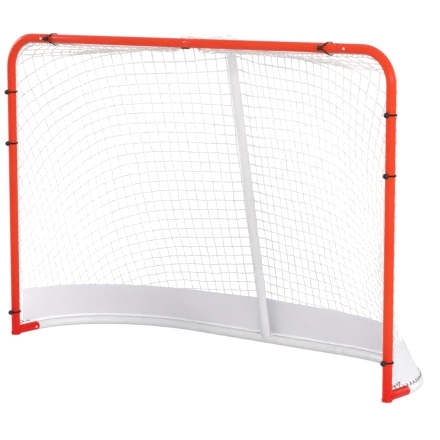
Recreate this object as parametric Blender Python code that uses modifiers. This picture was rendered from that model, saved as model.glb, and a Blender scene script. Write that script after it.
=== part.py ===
"""Street hockey goal: a knock-down steel tube frame with a laced net, a skirt and ball ties.

Metres, +Z up, +X to the right along the crossbar, +Y from the mouth to the rear rail.
The origin is on the ground, under the centre of the whole goal's box.
"""
import math

import bmesh
import bpy
import numpy as np
from mathutils import Matrix, Vector

# Overall frame
GOAL_WIDTH = 1.829
GOAL_HEIGHT = 1.219
RAIL_DEPTH = 0.505              # post axis to rear rail axis
CORNER_RADIUS = 0.118           # bend between a post and the crossbar
TUBE_RADIUS = 0.0175
TUBE_WALL = 0.0015
BASE_STRAIGHT = 0.370           # half length of the rear rail's straight run
SOCKET_REACH = 0.120            # post axis to the mouth of a foot socket

# Joints between the tubes
TOUCH_GAP = 0.0003              # gap left between faces that touch
SWAGE_CLEARANCE = 0.0006
SWAGE_STEP = 0.0015
INSERT_LENGTH = 0.055
CENTRE_INSERT_LENGTH = 0.085
CROSSBAR_SEAM_X = 0.005
POST_STUB = 0.096               # the post's straight run past its bend, up to the crossbar's seam
REAR_SEAM_INSET = 0.025         # from the end of the rear rail's straight run to its seam
CROSSBAR_BUTTON_SETBACK = 0.032
CENTRE_BUTTON_SETBACK = 0.062
REAR_BUTTON_SETBACK = 0.028
FOOT_BUTTON_SETBACK = 0.020
BRACE_BUTTON_SETBACK = 0.024

# Snap buttons
BUTTON_RADIUS = 0.004
BUTTON_PROUD = 0.0035
BUTTON_CLEARANCE = 0.0004
BUTTON_ROUND = 0.0012
LEAF_WIDTH = 0.008
LEAF_THICKNESS = 0.001
LEAF_LENGTH = 0.020
LEAF_HEEL = 0.006

# Foot caps
CAP_WALL = 0.0012
CAP_FLOOR = 0.004
CAP_HEIGHT = 0.012
CAP_CLEARANCE = 0.0004
CAP_ROUND = 0.0007

# Centre brace, its saddle and bolt
BRACE_SEAM_HEIGHT = 0.310
BRACE_BEND_RADIUS = 0.050
BRACE_ARM_DROP = 0.0045         # crossbar axis down to the arm's axis
BRACE_LEAN_RUN = 0.2395         # how far the leg leans forward up to the arm's height
SADDLE_WALL = 0.004
SADDLE_WIDTH = 0.034
SADDLE_UPPER_ANGLE = math.radians(10)
SADDLE_LOWER_ANGLE = math.radians(-102)
SADDLE_PLUG_LENGTH = 0.022
PLUG_CLEARANCE = 0.0004
BOLT_X = -0.011
BOLT_RADIUS = 0.0025
BOLT_CLEARANCE = 0.0004
BOLT_HEAD_RADIUS = 0.0045
BOLT_HEAD_HEIGHT = 0.003
BOLT_HEAD_ROUND = 0.0015
BOLT_GRIP = 0.006

# Net, border rope, skirt and hem
ROPE_RADIUS = 0.003
ROPE_SAG = 0.005
ROPE_SAG_RUN = 0.120            # length over which the rope droops from a tie
ROPE_BAR_ANGLE = math.radians(-65)
ROPE_ARM_ANGLE = math.radians(48)
ROPE_ARM_GAP = 0.0085           # the arm's side to where the rope starts to fall from it
ROPE_ARM_RUN = 0.036
ROPE_FOOT_HEIGHT = 0.052
NET_STRING = 0.003
NET_SETBACK = 0.0110            # rope axis to the net's first string
NET_ARM_SETBACK = 0.0085
NET_COLUMNS = 40
NET_ROWS = 28
BEND_ROW = 6                    # the row of strings that folds over the brace's bend
RIDGE_END_DROP = 0.0815         # crossbar axis down to the fold's ends on the posts' bends
RIDGE_DROOP = 0.020
SKIRT_ROWS = 4
STRING_STEP = 2                 # the solid net has every second string
NET_ROW_PULL = 0.130            # sideways pull in the net, against its pull up and down
SKIRT_ROW_PULL = 0.040
NET_RELAX_STEPS = 3000
BRACE_NET_GAP = 0.0070          # the brace tube's side to the net that passes over it
SKIRT_TOP = 0.183
SKIRT_THICKNESS = 0.0012
HEM_RADIUS = 0.005
HEM_BUMP_HALF_WIDTH = 0.012
HEM_BUMP_RUN = 0.045            # length over which the hem turns round the brace's foot

# Ball ties
TIE_CORD_RADIUS = 0.0025
BALL_RADIUS = 0.010
BALL_SLIP = 0.027               # how far the crossbar's balls sit to the left of their loops
TIE_FADE = 1 / 6                # the share of a loop over which it leans towards its ball
TIE_UPPER_DROP = 0.2165         # crossbar axis down to the posts' ties
TIE_MIDDLE_DROP = 0.4215
TIE_LOWER_LEFT = 0.094
TIE_LOWER_RIGHT = 0.138
TIE_LEFT_INSET = 0.028          # from the crossbar's seams to its ties
TIE_RIGHT_INSET = 0.035

# Mesh fineness
TUBE_BEVEL = 6
CORD_BEVEL = 1
CORNER_SEGMENTS = 9
BASE_SEGMENTS = 18
ROUND_SEGMENTS = 16
SAG_SEGMENTS = 5
ROPE_TURN_STEP = 0.014          # the longest step between the rope's points as it turns round the bar
SADDLE_SEGMENTS = 10
SPRING_SEGMENTS = 8
TIE_SEGMENTS = 15

# Worked out from the sizes above
POST_X = GOAL_WIDTH / 2 - TUBE_RADIUS
BAR_Z = GOAL_HEIGHT - TUBE_RADIUS
CROSSBAR_END_X = POST_X - CORNER_RADIUS - POST_STUB
REAR_SEAM_X = BASE_STRAIGHT - REAR_SEAM_INSET
TIE_LEFT_X = TIE_LEFT_INSET - CROSSBAR_END_X
TIE_RIGHT_X = CROSSBAR_END_X - TIE_RIGHT_INSET
RIDGE_END_HEIGHT = BAR_Z - RIDGE_END_DROP
BRACE_NET_OFFSET = TUBE_RADIUS + BRACE_NET_GAP
ROPE_ARM_HALF_WIDTH = TUBE_RADIUS + ROPE_ARM_GAP
INSERT_RADIUS = TUBE_RADIUS - TUBE_WALL - SWAGE_CLEARANCE
BASE_SWEEP_X = POST_X - BASE_STRAIGHT
BASE_SWEEP_Y = RAIL_DEPTH - SOCKET_REACH
FRONT_REACH = TUBE_RADIUS + TOUCH_GAP + 2 * BALL_RADIUS
ARM_Z = BAR_Z - BRACE_ARM_DROP
ROPE_REACH = TUBE_RADIUS + ROPE_RADIUS + TOUCH_GAP
ARM_SEGMENTS = math.ceil((ROPE_ARM_ANGLE - ROPE_BAR_ANGLE) * ROPE_REACH / ROPE_TURN_STEP)
HEM_Z = 2 * TUBE_RADIUS + HEM_RADIUS + TOUCH_GAP
LEAN = BRACE_LEAN_RUN / (ARM_Z - TUBE_RADIUS)
HEM_BUMP = TUBE_RADIUS * math.hypot(1, LEAN) + HEM_RADIUS + 2 * TOUCH_GAP - LEAN * (HEM_Z - TUBE_RADIUS)
REAR_REACH = RAIL_DEPTH + max(TUBE_RADIUS, HEM_BUMP + HEM_RADIUS)
MOUTH_Y = (FRONT_REACH - REAR_REACH) / 2
SKIRT_BOTTOM = HEM_Z + HEM_RADIUS + TOUCH_GAP
FACET = math.cos(math.pi / ROUND_SEGMENTS)
LEAF_REACH = math.sqrt(
    ((INSERT_RADIUS - TUBE_WALL) * FACET - TOUCH_GAP) ** 2 - (LEAF_WIDTH / 2) ** 2
)


def mouth(x, y, z):
    """A point given from the mouth's plane, in the part's frame."""
    return Vector((x, y + MOUTH_Y, z))


def clear_scene():
    """Removes what the file opened with."""
    for item in list(bpy.data.objects):
        bpy.data.objects.remove(item, do_unlink=True)


def new_collection(name):
    """A collection linked to the scene."""
    group = bpy.data.collections.new(name)
    bpy.context.scene.collection.children.link(group)
    return group


def new_material(name, colour, roughness, metallic):
    """A Principled material of one colour."""
    material = bpy.data.materials.new(name)
    material.use_nodes = True
    shader = material.node_tree.nodes["Principled BSDF"]
    shader.inputs["Base Color"].default_value = (*colour, 1.0)
    shader.inputs["Roughness"].default_value = roughness
    shader.inputs["Metallic"].default_value = metallic
    material.diffuse_color = (*colour, 1.0)
    return material


def add_object(name, mesh, material, group):
    """A named object for a mesh, with its material."""
    item = bpy.data.objects.new(name, mesh)
    if material is not None:
        mesh.materials.clear()
        mesh.materials.append(material)
    group.objects.link(item)
    return item


def smooth(mesh):
    """Smooth shading that keeps the edges sharper than 35 degrees."""
    mesh.shade_smooth()
    mesh.set_sharp_from_angle(angle=math.radians(35))


def swept_mesh(name, points, radii, bevel, capped):
    """The mesh of a round bevelled curve, with a radius at each point."""
    data = bpy.data.curves.new(name, "CURVE")
    data.dimensions = "3D"
    data.bevel_depth = 1.0
    data.bevel_resolution = bevel
    data.use_fill_caps = capped
    spline = data.splines.new("POLY")
    spline.points.add(len(points) - 1)
    for slot, place, radius in zip(spline.points, points, radii):
        slot.co = (place[0], place[1], place[2], 1.0)
        slot.radius = radius
    guide = bpy.data.objects.new(name + "_guide", data)
    bpy.context.scene.collection.objects.link(guide)
    bpy.context.view_layer.update()
    graph = bpy.context.evaluated_depsgraph_get()
    mesh = bpy.data.meshes.new_from_object(guide.evaluated_get(graph))
    bpy.data.objects.remove(guide, do_unlink=True)
    bpy.data.curves.remove(data)
    shape = bmesh.new()
    shape.from_mesh(mesh)
    bmesh.ops.remove_doubles(shape, verts=shape.verts, dist=0.000001)
    bmesh.ops.recalc_face_normals(shape, faces=shape.faces)
    shape.to_mesh(mesh)
    shape.free()
    mesh.name = name
    return mesh


def make_tube(name, points, radii, material, group):
    """A hollow round tube that follows the points, open at both ends."""
    mesh = swept_mesh(name, points, radii, TUBE_BEVEL, capped=False)
    tube = add_object(name, mesh, material, group)
    smooth(mesh)
    wall = tube.modifiers.new("wall", "SOLIDIFY")
    wall.thickness = TUBE_WALL
    wall.offset = -1.0
    wall.use_even_offset = True
    return tube


def make_cord(name, points, radius, material, group):
    """A solid round cord that follows the points."""
    mesh = swept_mesh(name, points, [radius] * len(points), CORD_BEVEL, capped=True)
    smooth(mesh)
    return add_object(name, mesh, material, group)


def filleted(points, radius, segments):
    """The points of a polyline whose inner corners are rounded with arcs of one radius."""
    path = [Vector(points[0])]
    for before, corner, after in zip(points, points[1:], points[2:]):
        back = (Vector(before) - Vector(corner)).normalized()
        ahead = (Vector(after) - Vector(corner)).normalized()
        half = back.angle(ahead) / 2
        centre = Vector(corner) + (back + ahead).normalized() * radius / math.sin(half)
        start = Vector(corner) + back * radius / math.tan(half) - centre
        finish = Vector(corner) + ahead * radius / math.tan(half) - centre
        for step in range(segments + 1):
            path.append(centre + start.slerp(finish, step / segments) * radius)
    path.append(Vector(points[-1]))
    return path


def set_frame(item, place, along, outward):
    """Puts an object's origin at a place, its X axis along a tube and its Z axis outward."""
    along = Vector(along).normalized()
    outward = Vector(outward).normalized()
    side = outward.cross(along)
    axes = Matrix((along, side, outward)).transposed()
    item.matrix_world = Matrix.Translation(place) @ axes.to_4x4()


def add_cylinder(name, radius, low, high, group, segments=ROUND_SEGMENTS):
    """A closed cylinder on its object's Z axis, from low to high."""
    mesh = bpy.data.meshes.new(name)
    shape = bmesh.new()
    bmesh.ops.create_cone(
        shape,
        cap_ends=True,
        segments=segments,
        radius1=radius,
        radius2=radius,
        depth=high - low,
        matrix=Matrix.Translation((0, 0, (low + high) / 2)),
    )
    shape.to_mesh(mesh)
    shape.free()
    return add_object(name, mesh, None, group)


def as_cutter(item):
    """Marks an object as a cutter, which isn't part of the goal."""
    item.hide_render = True
    item.display_type = "WIRE"
    return item


def boolean(item, tool, operation):
    """Adds a Boolean modifier that works with another object."""
    modifier = item.modifiers.new(operation.lower(), "BOOLEAN")
    modifier.operation = operation
    modifier.solver = "EXACT"
    modifier.object = tool


def turned(name, profile, material, group):
    """A closed turned shape: (radius, height) points from the top of the axis down its outer side."""
    mesh = bpy.data.meshes.new(name)
    shape = bmesh.new()
    rim = [shape.verts.new((radius, 0, height)) for radius, height in profile]
    for first, second in zip(rim, rim[1:]):
        shape.edges.new((first, second))
    shape.to_mesh(mesh)
    shape.free()
    item = add_object(name, mesh, material, group)
    screw = item.modifiers.new("turn", "SCREW")
    screw.steps = ROUND_SEGMENTS
    screw.render_steps = ROUND_SEGMENTS
    screw.use_merge_vertices = True
    screw.merge_threshold = 0.00001
    return item


def flat_outline(name, outline, thickness, material, group):
    """A flat plate: a closed outline in its object's X and Y, centred on Z."""
    data = bpy.data.curves.new(name, "CURVE")
    data.dimensions = "2D"
    data.fill_mode = "BOTH"
    data.extrude = thickness / 2
    spline = data.splines.new("POLY")
    spline.points.add(len(outline) - 1)
    for slot, place in zip(spline.points, outline):
        slot.co = (place[0], place[1], 0.0, 1.0)
    spline.use_cyclic_u = True
    guide = bpy.data.objects.new(name + "_guide", data)
    bpy.context.scene.collection.objects.link(guide)
    bpy.context.view_layer.update()
    graph = bpy.context.evaluated_depsgraph_get()
    mesh = bpy.data.meshes.new_from_object(guide.evaluated_get(graph))
    bpy.data.objects.remove(guide, do_unlink=True)
    bpy.data.curves.remove(data)
    shape = bmesh.new()
    shape.from_mesh(mesh)
    bmesh.ops.remove_doubles(shape, verts=shape.verts, dist=0.000001)
    bmesh.ops.recalc_face_normals(shape, faces=shape.faces)
    shape.to_mesh(mesh)
    shape.free()
    mesh.name = name
    return add_object(name, mesh, material, group)


def base_point(x):
    """The base tube's centre at a sideways place, from the mouth's plane."""
    over = max(abs(x) - BASE_STRAIGHT, 0.0) / BASE_SWEEP_X
    return SOCKET_REACH + BASE_SWEEP_Y * math.sqrt(max(1.0 - over * over, 0.0))


def base_curve():
    """The sideways and backward places along one of the base's curves, after its first point."""
    for step in range(1, BASE_SEGMENTS + 1):
        angle = math.pi / 2 * step / BASE_SEGMENTS
        yield BASE_STRAIGHT + BASE_SWEEP_X * math.cos(angle), SOCKET_REACH + BASE_SWEEP_Y * math.sin(angle)


def base_side_path(side):
    """The curved side of the base from its foot socket to its seam with the rear piece."""
    path = [
        mouth(side * POST_X, SOCKET_REACH - INSERT_LENGTH, TUBE_RADIUS),
        mouth(side * POST_X, SOCKET_REACH + TOUCH_GAP, TUBE_RADIUS),
        mouth(side * POST_X, SOCKET_REACH + TOUCH_GAP + SWAGE_STEP, TUBE_RADIUS),
    ]
    for across, back in base_curve():
        path.append(mouth(side * across, back, TUBE_RADIUS))
    path.append(mouth(side * (REAR_SEAM_X + TOUCH_GAP), RAIL_DEPTH, TUBE_RADIUS))
    return path


def brace_direction():
    """The unit direction of the brace's leg, up from the rear rail."""
    return Vector((0, -BRACE_LEAN_RUN, ARM_Z - TUBE_RADIUS)).normalized()


def brace_point(length):
    """A point on the brace's leg at a length from the rear rail's axis."""
    return mouth(0, RAIL_DEPTH, TUBE_RADIUS) + brace_direction() * length


def brace_bend_path():
    """The brace's centre line from the rail, round its bend and forward to the saddle."""
    corner = brace_point((ARM_Z - TUBE_RADIUS) / brace_direction().z)
    end = mouth(0, TUBE_RADIUS + SADDLE_WALL + 2 * TOUCH_GAP, ARM_Z)
    return filleted([brace_point(0), corner, end], BRACE_BEND_RADIUS, CORNER_SEGMENTS)


def smooth_step(value):
    """Rises smoothly from 0 to 1 as the value does."""
    value = min(max(value, 0.0), 1.0)
    return value * value * (3.0 - 2.0 * value)


def rope_bar_offset(x):
    """Where the border rope lies from the crossbar's axis: its reach and its angle from the rear."""
    over_arm = 1.0 - smooth_step((abs(x) - ROPE_ARM_HALF_WIDTH) / ROPE_ARM_RUN)
    left = smooth_step((x - TIE_LEFT_X) / ROPE_SAG_RUN)
    right = smooth_step((TIE_RIGHT_X - x) / ROPE_SAG_RUN)
    reach = ROPE_REACH + ROPE_SAG * left * right * (1.0 - over_arm)
    angle = ROPE_BAR_ANGLE + (ROPE_ARM_ANGLE - ROPE_BAR_ANGLE) * over_arm
    return reach, angle, over_arm


def edge_points(setback):
    """The points of the net's border from the left foot, over the mouth, to the right foot.

    The setback moves them away from the tubes, past the rope that lies on them.
    """
    straight = POST_X - CORNER_RADIUS
    arm_end = ROPE_ARM_HALF_WIDTH + ROPE_ARM_RUN
    sagging = np.linspace(TIE_RIGHT_X, arm_end, SAG_SEGMENTS + 1)
    rising = np.linspace(arm_end, ROPE_ARM_HALF_WIDTH, ARM_SEGMENTS + 1)
    places = [straight, *sagging, *rising[1:], 0.0]
    left = [mouth(-POST_X, ROPE_REACH + setback, ROPE_FOOT_HEIGHT)]
    left.append(mouth(-POST_X, ROPE_REACH + setback, (BAR_Z - CORNER_RADIUS) / 2))
    bend_centre = mouth(-straight, 0, BAR_Z - CORNER_RADIUS)
    for step in range(CORNER_SEGMENTS):
        share = step / CORNER_SEGMENTS
        turn = math.pi / 2 * share
        lower = ROPE_BAR_ANGLE * smooth_step(share)
        inward = Vector((math.cos(turn), 0, -math.sin(turn)))
        axis = bend_centre - inward * CORNER_RADIUS
        away = Vector((0, math.cos(lower), 0)) - inward * math.sin(lower)
        left.append(axis + away * (ROPE_REACH + setback))
    top = []
    for x in [-x for x in places[:-1]] + places[::-1]:
        reach, angle, over_arm = rope_bar_offset(x)
        extra = setback + (NET_ARM_SETBACK - NET_SETBACK) * over_arm * (setback > 0)
        away = Vector((0, math.cos(angle), math.sin(angle)))
        top.append(mouth(x, 0, BAR_Z) + away * (reach + extra))
    right = [Vector((-place.x, place.y, place.z)) for place in reversed(left)]
    return left, top, right


def sampled(points, count):
    """Points at even steps along a polyline, as an array."""
    places = np.array([tuple(place) for place in points])
    steps = np.linalg.norm(np.diff(places, axis=0), axis=1)
    lengths = np.concatenate([[0.0], np.cumsum(steps)])
    wanted = np.linspace(0.0, lengths[-1], count)
    return np.column_stack([np.interp(wanted, lengths, places[:, k]) for k in range(3)])


def hem_path():
    """The hem's centre line on top of the base, from the left post to the right post."""
    left = [mouth(-POST_X, ROPE_REACH + NET_SETBACK, HEM_Z)]
    left += [mouth(-POST_X, SOCKET_REACH, HEM_Z)]
    for across, back in base_curve():
        left.append(mouth(-across, back, HEM_Z))
    for share in (0.0, 0.25, 0.5, 0.75, 1.0):
        aside = HEM_BUMP_HALF_WIDTH + HEM_BUMP_RUN * (1.0 - share)
        left.append(mouth(-aside, RAIL_DEPTH + HEM_BUMP * smooth_step(share), HEM_Z))
    return left + [Vector((-place.x, place.y, place.z)) for place in reversed(left)]


def net_ridge(corner, over_bend):
    """The net's fold over the brace's bend: a row of points from one post's bend to the other's."""
    share = np.abs(np.linspace(-1.0, 1.0, NET_COLUMNS + 1))[:, None]
    side = np.sign(np.linspace(-1.0, 1.0, NET_COLUMNS + 1))[:, None]
    outer = np.tile(corner, (NET_COLUMNS + 1, 1))
    outer[:, :1] *= -side
    droop = 4.0 * share * (1.0 - share) * np.array([0.0, RIDGE_DROOP, RIDGE_DROOP])
    return np.array(over_bend) * (1.0 - share) + outer * share - droop


def relaxed_net():
    """The net's and the skirt's shared surface: rows of points, pulled tight over the brace."""
    left, top, _ = edge_points(NET_SETBACK)
    rows = NET_ROWS + SKIRT_ROWS
    hem = sampled(hem_path(), NET_COLUMNS + 1)
    side_edge = np.array([tuple(place) for place in left[::-1]])
    top_edge = sampled(top, NET_COLUMNS + 1)
    middle = NET_COLUMNS // 2
    heights = np.concatenate([
        np.linspace(top_edge[0, 2], RIDGE_END_HEIGHT, BEND_ROW + 1),
        np.linspace(RIDGE_END_HEIGHT, SKIRT_TOP, NET_ROWS - BEND_ROW + 1)[1:],
        np.linspace(SKIRT_TOP, SKIRT_BOTTOM, SKIRT_ROWS + 1)[1:],
    ])
    edge = np.column_stack([
        np.interp(-heights, -side_edge[:, 2], side_edge[:, 0]),
        np.interp(-heights, -side_edge[:, 2], side_edge[:, 1]),
        heights,
    ])
    leg_side = Vector((0, brace_direction().z, -brace_direction().y))
    bend_side = (leg_side + Vector((0, 0, 1))).normalized()
    corner = brace_point((ARM_Z - TUBE_RADIUS) / brace_direction().z)
    ridge = net_ridge(edge[BEND_ROW], corner + bend_side * BRACE_NET_OFFSET / bend_side.z)
    grid = np.zeros((rows + 1, NET_COLUMNS + 1, 3))
    for row in range(rows + 1):
        roof = min(row / BEND_ROW, 1.0)
        fall = max(row - BEND_ROW, 0) / (rows - BEND_ROW)
        grid[row] = (top_edge * (1.0 - roof) + ridge * roof) * (1.0 - fall) + hem * fall
        if row > BEND_ROW:
            drop = min((row - BEND_ROW) / (NET_ROWS - BEND_ROW), 1.0)
            lowest = min(heights[row], SKIRT_TOP) if drop == 1.0 else SKIRT_TOP
            grid[row, :, 2] = ridge[:, 2] * (1.0 - drop) + lowest * drop
        grid[row, 0] = edge[row]
        grid[row, -1] = edge[row] * (-1.0, 1.0, 1.0)
    grid[-1, 1:-1, :2] = hem[1:-1, :2]
    grid[1:BEND_ROW, middle, 2] = ARM_Z + BRACE_NET_OFFSET
    drops = heights[BEND_ROW:-1] - heights[BEND_ROW + 1:]
    above = (2.0 / (drops[:-1] * (drops[:-1] + drops[1:])))[:, None, None]
    below = (2.0 / (drops[1:] * (drops[:-1] + drops[1:])))[:, None, None]
    pull = np.where(np.arange(BEND_ROW + 1, rows) < NET_ROWS, NET_ROW_PULL, SKIRT_ROW_PULL)
    pull = (pull * NET_COLUMNS ** 2)[:, None, None]
    wall = grid[BEND_ROW:]
    leg_back = brace_point(0).y - LEAN * (wall[1:-1, middle, 2] - TUBE_RADIUS)
    leg_back += BRACE_NET_OFFSET * math.hypot(1, LEAN)
    for _ in range(NET_RELAX_STEPS):
        inner = above * wall[:-2, 1:-1, :2] + below * wall[2:, 1:-1, :2]
        inner += pull * (wall[1:-1, :-2, :2] + wall[1:-1, 2:, :2])
        wall[1:-1, 1:-1, :2] = inner / (above + below + 2.0 * pull)
        wall[1:-1, middle, 1] = np.maximum(wall[1:-1, middle, 1], leg_back)
    return grid


def grid_mesh(name, grid):
    """An open mesh of four-sided faces through rows of points, facing out of the goal."""
    mesh = bpy.data.meshes.new(name)
    shape = bmesh.new()
    corners = [[shape.verts.new(place) for place in row] for row in grid]
    for upper, lower in zip(corners, corners[1:]):
        for a, b, c, d in zip(upper, upper[1:], lower[1:], lower):
            shape.faces.new((a, b, c, d))
    shape.to_mesh(mesh)
    shape.free()
    return mesh


class Goal:
    """Builds the goal's pieces into one collection, with the cutters in another."""

    def __init__(self):
        self.parts = new_collection("street_hockey_goal")
        self.cutters = new_collection("cutters")
        self.red = new_material("red_paint", (0.83, 0.02, 0.01), 0.28, 0.0)
        self.white = new_material("white_paint", (0.80, 0.80, 0.80), 0.30, 0.0)
        self.black = new_material("black_plastic", (0.02, 0.02, 0.02), 0.45, 0.0)
        self.elastic = new_material("black_elastic", (0.02, 0.02, 0.02), 0.80, 0.0)
        self.steel = new_material("spring_steel", (0.60, 0.60, 0.62), 0.30, 1.0)
        self.twine = new_material("net_twine", (0.85, 0.85, 0.84), 0.85, 0.0)
        self.fabric = new_material("skirt_fabric", (0.68, 0.68, 0.71), 0.75, 0.0)

    def bore(self, label, place, outward, radius, tubes):
        """Cuts a round hole through the wall that faces outward, in each of the tubes."""
        tool = add_cylinder(
            "hole_" + label, radius, TUBE_RADIUS / 2, TUBE_RADIUS + BUTTON_PROUD, self.cutters
        )
        sideways = Vector(outward).orthogonal()
        set_frame(tool, place, sideways, outward)
        as_cutter(tool)
        for tube in tubes:
            boolean(tube, tool, "DIFFERENCE")

    def snap(self, label, place, along, outward, tubes):
        """A snap button with its leaf, the fixed bend of its spring, and the hole that it fills."""
        self.bore(label, place, outward, BUTTON_RADIUS + BUTTON_CLEARANCE, tubes)
        top = TUBE_RADIUS + BUTTON_PROUD
        foot = LEAF_REACH - LEAF_THICKNESS / 2
        profile = [(0.0, top)]
        for turn in (math.pi / 2, math.pi / 4, 0.0):
            edge = BUTTON_RADIUS - BUTTON_ROUND * (1.0 - math.cos(turn))
            profile.append((edge, top - BUTTON_ROUND * (1.0 - math.sin(turn))))
        profile += [(BUTTON_RADIUS, foot), (0.0, foot)]
        head = turned("head_" + label, profile, None, self.cutters)
        set_frame(head, place, along, outward)
        as_cutter(head)
        mesh = bpy.data.meshes.new("snap_button_" + label)
        shape = bmesh.new()
        size = Matrix.Diagonal((LEAF_LENGTH + LEAF_HEEL, LEAF_WIDTH, LEAF_THICKNESS, 1.0))
        shift = Matrix.Translation(
            ((LEAF_LENGTH - LEAF_HEEL) / 2, 0, LEAF_REACH - LEAF_THICKNESS / 2)
        )
        bmesh.ops.create_cube(shape, size=1.0, matrix=shift @ size)
        shape.to_mesh(mesh)
        shape.free()
        button = add_object("snap_button_" + label, mesh, self.steel, self.parts)
        set_frame(button, place, along, outward)
        boolean(button, head, "UNION")
        self.leaf_spring(label, place, along, outward)

    def leaf_spring(self, label, place, along, outward):
        """The fixed half of a snap button's spring: the arm on the far wall and its round bend."""
        middle = LEAF_REACH - LEAF_THICKNESS / 2
        bend_x = LEAF_LENGTH + TOUCH_GAP
        outline = [(-LEAF_HEEL, -middle - LEAF_THICKNESS / 2)]
        for radius, order in (
            (middle + LEAF_THICKNESS / 2, range(SPRING_SEGMENTS + 1)),
            (middle - LEAF_THICKNESS / 2, range(SPRING_SEGMENTS, -1, -1)),
        ):
            for step in order:
                angle = math.pi * step / SPRING_SEGMENTS - math.pi / 2
                outline.append((bend_x + radius * math.cos(angle), radius * math.sin(angle)))
        outline.append((-LEAF_HEEL, -middle + LEAF_THICKNESS / 2))
        spring = flat_outline("button_spring_" + label, outline, LEAF_WIDTH, self.steel, self.parts)
        along = Vector(along).normalized()
        outward = Vector(outward).normalized()
        side = along.cross(outward)
        axes = Matrix((along, outward, side)).transposed()
        spring.matrix_world = Matrix.Translation(place) @ axes.to_4x4()

    def posts(self):
        """Both posts, each with its bend and the stub that takes the crossbar, and its foot cap."""
        made = {}
        for label, side in (("left", -1), ("right", 1)):
            path = filleted(
                [
                    mouth(side * POST_X, 0, CAP_FLOOR + TOUCH_GAP),
                    mouth(side * POST_X, 0, BAR_Z),
                    mouth(side * (CROSSBAR_END_X + TOUCH_GAP), 0, BAR_Z),
                ],
                CORNER_RADIUS,
                CORNER_SEGMENTS,
            )
            radii = [TUBE_RADIUS] * len(path)
            made[side] = make_tube("post_" + label, path, radii, self.red, self.parts)
            inner = TUBE_RADIUS + CAP_CLEARANCE
            cap = turned(
                "foot_cap_" + label,
                [
                    (0.0, CAP_FLOOR),
                    (inner, CAP_FLOOR),
                    (inner, CAP_HEIGHT),
                    (inner + CAP_WALL - CAP_ROUND, CAP_HEIGHT),
                    (inner + CAP_WALL, CAP_HEIGHT - CAP_ROUND),
                    (inner + CAP_WALL, CAP_ROUND),
                    (inner + CAP_WALL - CAP_ROUND, 0.0),
                    (0.0, 0.0),
                ],
                self.red,
                self.parts,
            )
            cap.location = mouth(side * POST_X, 0, 0)
        return made

    def crossbar(self):
        """Both crossbar halves: swaged at their outer ends, and the left one at the middle too."""
        left_path = [
            mouth(-CROSSBAR_END_X - INSERT_LENGTH, 0, BAR_Z),
            mouth(-CROSSBAR_END_X, 0, BAR_Z),
            mouth(-CROSSBAR_END_X + SWAGE_STEP, 0, BAR_Z),
            mouth(CROSSBAR_SEAM_X - SWAGE_STEP, 0, BAR_Z),
            mouth(CROSSBAR_SEAM_X, 0, BAR_Z),
            mouth(CROSSBAR_SEAM_X + CENTRE_INSERT_LENGTH, 0, BAR_Z),
        ]
        insert, full = INSERT_RADIUS, TUBE_RADIUS
        radii = [insert, insert, full, full, insert, insert]
        left = make_tube("crossbar_left", left_path, radii, self.red, self.parts)
        right_path = [
            mouth(CROSSBAR_SEAM_X + TOUCH_GAP, 0, BAR_Z),
            mouth(CROSSBAR_END_X - SWAGE_STEP, 0, BAR_Z),
            mouth(CROSSBAR_END_X, 0, BAR_Z),
            mouth(CROSSBAR_END_X + INSERT_LENGTH, 0, BAR_Z),
        ]
        radii = [full, full, insert, insert]
        right = make_tube("crossbar_right", right_path, radii, self.red, self.parts)
        return {-1: left, 1: right}

    def foot_sockets(self):
        """The stubs on the backs of the posts that take the base, cut to fit post and cap."""
        made = {}
        for label, side in (("left", -1), ("right", 1)):
            path = [
                mouth(side * POST_X, TUBE_RADIUS / 2, TUBE_RADIUS),
                mouth(side * POST_X, SOCKET_REACH, TUBE_RADIUS),
            ]
            socket = make_tube(
                "foot_socket_" + label, path, [TUBE_RADIUS] * 2, self.red, self.parts
            )
            cap_radius = TUBE_RADIUS + CAP_CLEARANCE + CAP_WALL
            cuts = (
                ("post_cope_", TUBE_RADIUS + TOUCH_GAP, CAP_HEIGHT / 2, 3 * TUBE_RADIUS),
                ("cap_cope_", cap_radius + TOUCH_GAP, -CAP_HEIGHT, CAP_HEIGHT + TOUCH_GAP),
            )
            for name, radius, low, high in cuts:
                tool = add_cylinder(name + label, radius / FACET, low, high, self.cutters)
                tool.location = mouth(side * POST_X, 0, 0)
                as_cutter(tool)
                boolean(socket, tool, "DIFFERENCE")
            made[side] = socket
        return made

    def base(self):
        """The base on the ground: two curved sides and the rear piece between them."""
        made = {}
        for label, side in (("left", -1), ("right", 1)):
            path = base_side_path(side)
            radii = [INSERT_RADIUS] * 2 + [TUBE_RADIUS] * (len(path) - 2)
            made[side] = make_tube("base_side_" + label, path, radii, self.white, self.parts)
        end = REAR_SEAM_X + INSERT_LENGTH
        half = [REAR_SEAM_X - SWAGE_STEP, REAR_SEAM_X, BASE_STRAIGHT, (BASE_STRAIGHT + end) / 2, end]
        xs = [-x for x in reversed(half)] + half
        path = [mouth(x, base_point(x), TUBE_RADIUS) for x in xs]
        radii = [TUBE_RADIUS if abs(x) < REAR_SEAM_X else INSERT_RADIUS for x in xs]
        made[0] = make_tube("base_rear", path, radii, self.white, self.parts)
        return made

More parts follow.
